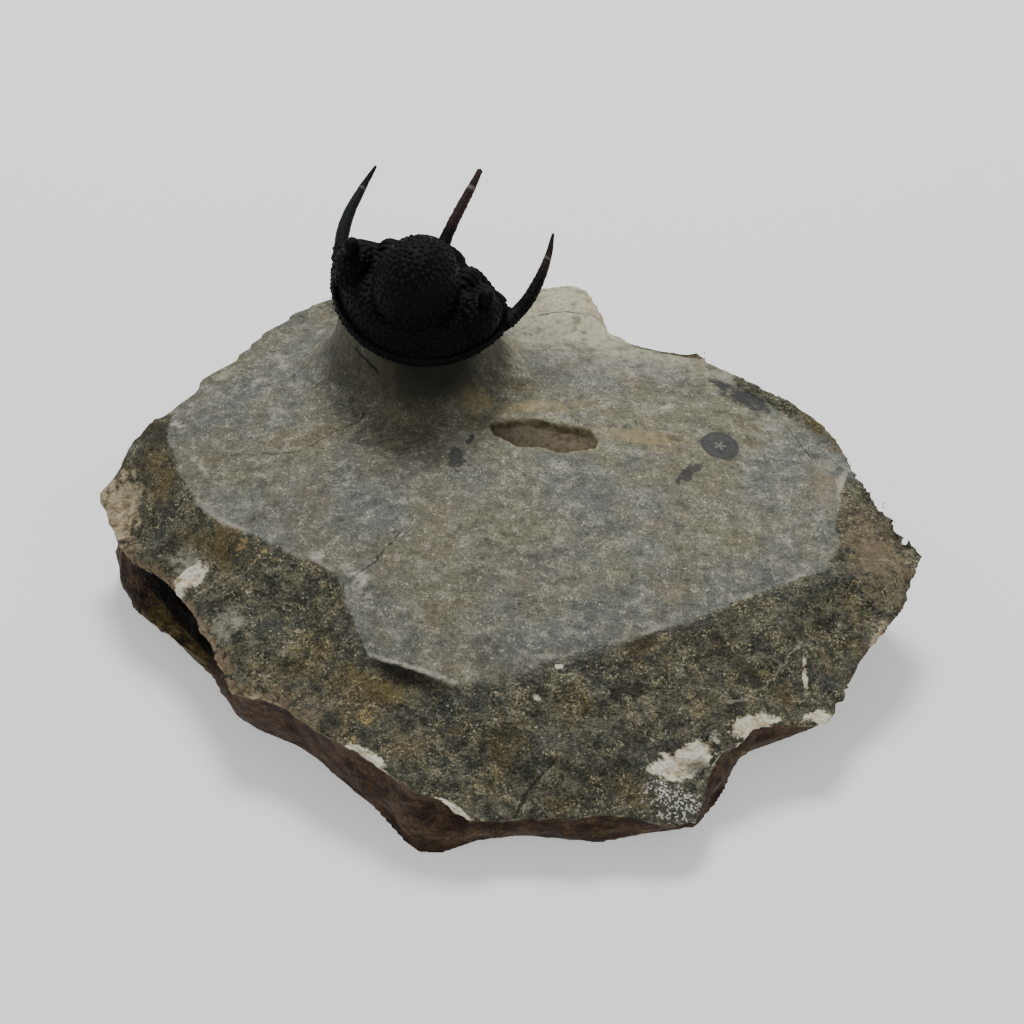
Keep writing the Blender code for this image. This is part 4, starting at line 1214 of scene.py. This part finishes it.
def ledge_highlight_and_shadow(look, base, ragged):
    """Painted highlight on the lip of the overhanging front edge and painted shadow in the dark line below it."""
    ledge = look.value("ledge")
    step = look.math("ADD", look.value("outside"), look.math("MULTIPLY", ragged, 0.12))
    lip = look.math("SUBTRACT", look.band(step, -0.3, -0.12), look.band(step, -0.02, 0.08))
    lip = look.math("MULTIPLY", lip, look.band(look.noise(0.35, 3.0, 0.7), 0.36, 0.5))
    # painted highlight along the lip
    base = look.tint(base, look.math("MULTIPLY", lip, ledge), 0.8, colour(190, 186, 168))
    # painted shadow under the overhang
    shadow_below_lip = look.math("MULTIPLY", look.band(step, 0.0, 0.1), look.band(step, 1.3, 0.2))
    return look.tint(base, look.math("MULTIPLY", shadow_below_lip, ledge), 0.85, colour(28, 27, 19))


def cracked(look, base):
    """Fine cracks of the top, the rusty crack of the front, the painted shadow of the sliver beside the pedestal and a
    painted highlight along a ridge of the band.
    """
    shaken = look.shaken(0.6, 0.6)
    flat = look.vector("MULTIPLY", shaken, (1.0, 1.0, 0.0))
    cracks = look.band(line_distance(look, flat, CRACKS), 0.1, 0.03)
    cracks = look.math("MULTIPLY", cracks, look.band(look.value("carved"), 0.2, 0.0))
    cracks = look.math("MULTIPLY", cracks, look.band(look.noise(0.8, 4.0, 0.65), 0.38, 0.52))
    base = look.tint(base, cracks, 0.8, colour(44, 40, 34))
    rusty = look.band(line_distance(look, flat, RUSTY_CRACK), 0.16, 0.05)
    base = look.tint(base, rusty, 0.8, colour(44, 28, 16))
    sliver = look.band(line_distance(look, look.place, SHADED_SLIVER), 0.2, 0.06)
    base = look.tint(base, sliver, 0.85, colour(18, 17, 13))
    # painted highlight along the ridge
    ridge_highlight = look.band(line_distance(look, flat, RIDGE_HIGHLIGHT), 0.1, 0.03)
    return look.tint(base, ridge_highlight, 0.5, colour(168, 164, 146))


def limestone():
    look = Look("limestone_look")
    mid = look.noise(3.2, 4.0, 0.6)
    mottle = look.noise(1.5, 4.0, 0.7)
    small = look.noise(0.8, 4.0, 0.65)
    fine = look.noise(0.35, 3.0, 0.7)
    wobble = look.math("MULTIPLY", look.math("SUBTRACT", mottle, 0.5), 1.5)
    ragged = look.math("MULTIPLY", look.math("SUBTRACT", small, 0.5), 2.2)
    outside = look.math("ADD", look.value("outside"), wobble)
    blur = look.math("ADD", look.math("MULTIPLY", look.value("soft"), 1.5), 0.12)
    broken = look.band(outside, look.math("MULTIPLY", blur, -1.0), blur)
    below = look.math("ADD", look.value("below"), look.math("MULTIPLY", wobble, 0.7))
    under = look.band(below, 0.1, 0.7)

    def where(name, low=0.0, high=0.35):
        return look.band(look.math("ADD", look.value(name), ragged), low, high)

    base = carved_rock(look, top_marks(look, top_rock(look), ragged))
    band = band_rock(look)
    base = look.mix(broken, base, band)
    near_edge = look.math("SUBTRACT", look.band(outside, -0.6, -0.05), look.band(outside, -0.05, 0.15))
    worn = look.math("MULTIPLY", near_edge, look.band(mid, 0.48, 0.58))
    base = look.tint(base, worn, 0.5, colour(182, 180, 164))
    base = ledge_highlight_and_shadow(look, base, ragged)
    base = cracked(look, base)

    base = look.tint(base, where("ochre", -0.1, 0.9), 0.6, look.shade(colour(104, 90, 50), look.grain(0.11), 0.4, 1.7))
    base = look.tint(base, where("sandy", -0.2, 0.8), 0.5, look.shade(colour(140, 124, 96), fine, 0.3, 1.7))
    chalk = look.shade(colour(168, 166, 148), look.grain(0.11), 0.6, 1.3)
    base = look.tint(base, where("chalk", 0.0, 1.0), 0.7, chalk)
    gold = look.math("MULTIPLY", where("gold", 0.0, 0.4), look.band(fine, 0.48, 0.56))
    base = look.tint(base, gold, 0.7, colour(180, 154, 96))
    glint = where("glint", 0.0, 0.4)
    base = look.tint(base, glint, 0.6, colour(76, 76, 70))
    sparkle = look.math("MULTIPLY", glint, look.band(look.grain(0.13, 1), 0.66, 0.74))
    base = look.tint(base, sparkle, 0.85, colour(228, 226, 216))
    stained = look.tint(band, look.band(mid, 0.42, 0.6), 0.5, look.shade(colour(88, 74, 54), fine, 0.3, 1.7))
    stained = look.tint(stained, look.band(mottle, 0.56, 0.66), 0.4, colour(128, 122, 104))
    base = look.mix(under, base, look.mix(look.value("front"), stained, wall_rock(look)))
    rim_wear = look.math("SUBTRACT", look.band(below, -0.8, -0.1), look.band(below, 0.4, 1.1))
    patchy = look.math("MULTIPLY", look.value("worn"), look.band(small, 0.36, 0.5))
    rim_wear = look.math("MULTIPLY", rim_wear, patchy)
    base = look.tint(base, rim_wear, 0.75, look.shade(colour(150, 128, 98), fine, 0.4, 1.6))
    pale_rock = look.mix(look.band(small, 0.38, 0.6), colour(150, 136, 104), colour(200, 186, 152))
    base = look.tint(base, where("tan", 0.0, 0.6), 0.75, look.shade(pale_rock, fine, 0.5, 1.5))
    white_rock = look.mix(look.band(small, 0.38, 0.54), colour(206, 186, 154), colour(250, 244, 220))
    white_rock = look.tint(white_rock, look.band(fine, 0.4, 0.3), 0.7, colour(112, 100, 80))
    calcite = look.band(look.math("ADD", look.value("calcite"), look.math("MULTIPLY", ragged, 0.7)), 0.0, 0.3)
    base = look.tint(base, calcite, 0.9, white_rock)
    # dark rim patches: a dark inclusion, and painted shade on facets and a ridge
    base = look.tint(base, where("shade", 0.1, 0.6), 0.7, colour(46, 40, 27))
    look.feed(look.shader.inputs["Base Color"], base)

    dull = look.math("ADD", look.math("MULTIPLY", look.grain(0.11), 0.25), 0.6)
    look.feed(look.shader.inputs["Roughness"], look.math("SUBTRACT", dull, look.math("MULTIPLY", sparkle, 0.4)))
    look.feed(look.shader.inputs["Specular IOR Level"], 0.3)

    grit = look.math("ADD", fine, look.math("MULTIPLY", look.cells(0.3).outputs["Distance"], 0.6))
    rough = look.math("MAXIMUM", look.band(look.value("outside"), -0.3, 0.3), look.band(look.value("below"), 0.1, 0.7))
    depth = look.math("ADD", look.math("MULTIPLY", rough, 0.85), 0.15)
    look.feed(look.shader.inputs["Normal"], look.bump(look.math("MULTIPLY", grit, depth), 0.16))
    return look.material


def shell():
    """Nearly black, with greyer tips to its knobs, partly worn and partly painted highlight, reddish and greenish
    spines and pale mends.
    """
    look = Look("shell_look")
    fine = look.noise(0.12, 3.0, 0.6)
    base = look.mix(look.band(look.noise(1.1, 3.0), 0.4, 0.65), colour(5, 5, 6), colour(9, 10, 11))
    # greyer knob tips: partly wear, partly painted highlight where they catch the light
    base = look.tint(base, look.band(look.value("tip"), 0.3, 0.9), 0.5, colour(24, 27, 29))
    base = look.tint(base, look.band(fine, 0.55, 0.75), 0.25, colour(30, 32, 34))
    base = look.tint(base, look.value("rust"), 0.75, look.mix(look.band(fine, 0.4, 0.6), colour(42, 26, 26),
                                                             colour(66, 50, 48)))
    base = look.tint(base, look.value("green"), 0.7, colour(44, 48, 44))
    base = look.tint(base, look.value("mended"), 0.5, colour(150, 144, 138))
    base = look.tint(base, look.value("eye"), 0.9, colour(3, 3, 3))
    look.feed(look.shader.inputs["Base Color"], base)
    look.feed(look.shader.inputs["Roughness"], look.math("ADD", look.math("MULTIPLY", fine, 0.3), 0.45))
    look.feed(look.shader.inputs["Specular IOR Level"], 0.12)
    look.feed(look.shader.inputs["Normal"], look.bump(look.noise(0.1, 3.0, 0.6), 0.03))
    return look.material


def floor_look():
    look = Look("floor_look")
    mottle = look.noise(60.0, 2.0)
    look.feed(look.shader.inputs["Emission Color"], (1.0, 1.0, 1.0, 1.0))
    look.feed(look.shader.inputs["Emission Strength"], 0.45)
    look.feed(look.shader.inputs["Base Color"], look.mix(mottle, (0.86, 0.86, 0.86, 1.0), (0.9, 0.9, 0.9, 1.0)))
    look.feed(look.shader.inputs["Roughness"], 0.9)
    return look.material


# Scene

def build_pieces():
    stone_look = limestone()
    shell_look = shell()
    stone = stone_mesh()
    mark_stone(stone)
    placed(stone, "stone_surface", stone_look, "matrix", turned=False)

    head = head_mesh()
    mark_shell(head)
    placed(head, "head_surface", shell_look, "cephalon")

    pitch = (THORAX_END - THORAX_START) / SEGMENTS
    for number in range(1, SEGMENTS + 1):
        start = THORAX_START + pitch * (number - 1)
        solids = [plate_solid(start, start + pitch - CLOSED_GAP, PLATE_RISES)]
        if number == SPINE_SEGMENT:
            solids.append(tapered_rod(AXIAL_SPINE, AXIAL_RADII, knobs=0.06))
        mesh = bpy.data.meshes.new("plate")
        joined(solids).to_mesh(mesh)
        mark_shell(mesh)
        node = "thorax_segment_%02d" % number
        placed(mesh, "plate_surface_%02d" % number, shell_look, node)

    mesh = bpy.data.meshes.new("tail")
    plate_solid(THORAX_END, TAIL_END, TAIL_RISES, 6).to_mesh(mesh)
    mark_shell(mesh)
    placed(mesh, "tail_surface", shell_look, "pygidium")


def area_light(name, place, size, power, aim):
    data = bpy.data.lights.new(name, "AREA")
    data.shape = "DISK"
    data.size = size
    data.energy = power
    lamp = bpy.data.objects.new(name, data)
    lamp.location = place
    lamp.rotation_euler = (aim - Vector(place)).to_track_quat("-Z", "Y").to_euler()
    bpy.context.scene.collection.objects.link(lamp)


def build_studio():
    bm = bmesh.new()
    bmesh.ops.create_grid(bm, x_segments=1, y_segments=1, size=1.5)
    mesh = bpy.data.meshes.new("floor")
    bm.to_mesh(mesh)
    bm.free()
    mesh.materials.append(floor_look())
    floor = bpy.data.objects.new("floor", mesh)
    bpy.context.scene.collection.objects.link(floor)

    world = bpy.data.worlds.new("studio")
    world.use_nodes = True
    world.node_tree.nodes["Background"].inputs["Color"].default_value = (1.0, 1.0, 1.0, 1.0)
    world.node_tree.nodes["Background"].inputs["Strength"].default_value = 0.34
    bpy.context.scene.world = world

    aim = Vector((0.0, 0.005, 0.008))
    area_light("key", (-0.01, 0.19, 0.33), 0.14, 1.05, aim)
    area_light("fill", (0.2, -0.2, 0.25), 0.3, 0.12, aim)

    data = bpy.data.cameras.new("camera")
    data.lens = CAMERA_LENS
    data.sensor_width = 36.0
    data.clip_start = 0.001
    tilt = math.radians(CAMERA_ELEVATION)
    camera = bpy.data.objects.new("camera", data)
    back = Vector((0.0, -math.cos(tilt), math.sin(tilt)))
    camera.location = (CAMERA_TARGET + back * CAMERA_DISTANCE) * MM
    camera.rotation_euler = (math.radians(90.0) - tilt, 0.0, 0.0)
    bpy.context.scene.collection.objects.link(camera)
    bpy.context.scene.camera = camera


build_pieces()
build_studio()
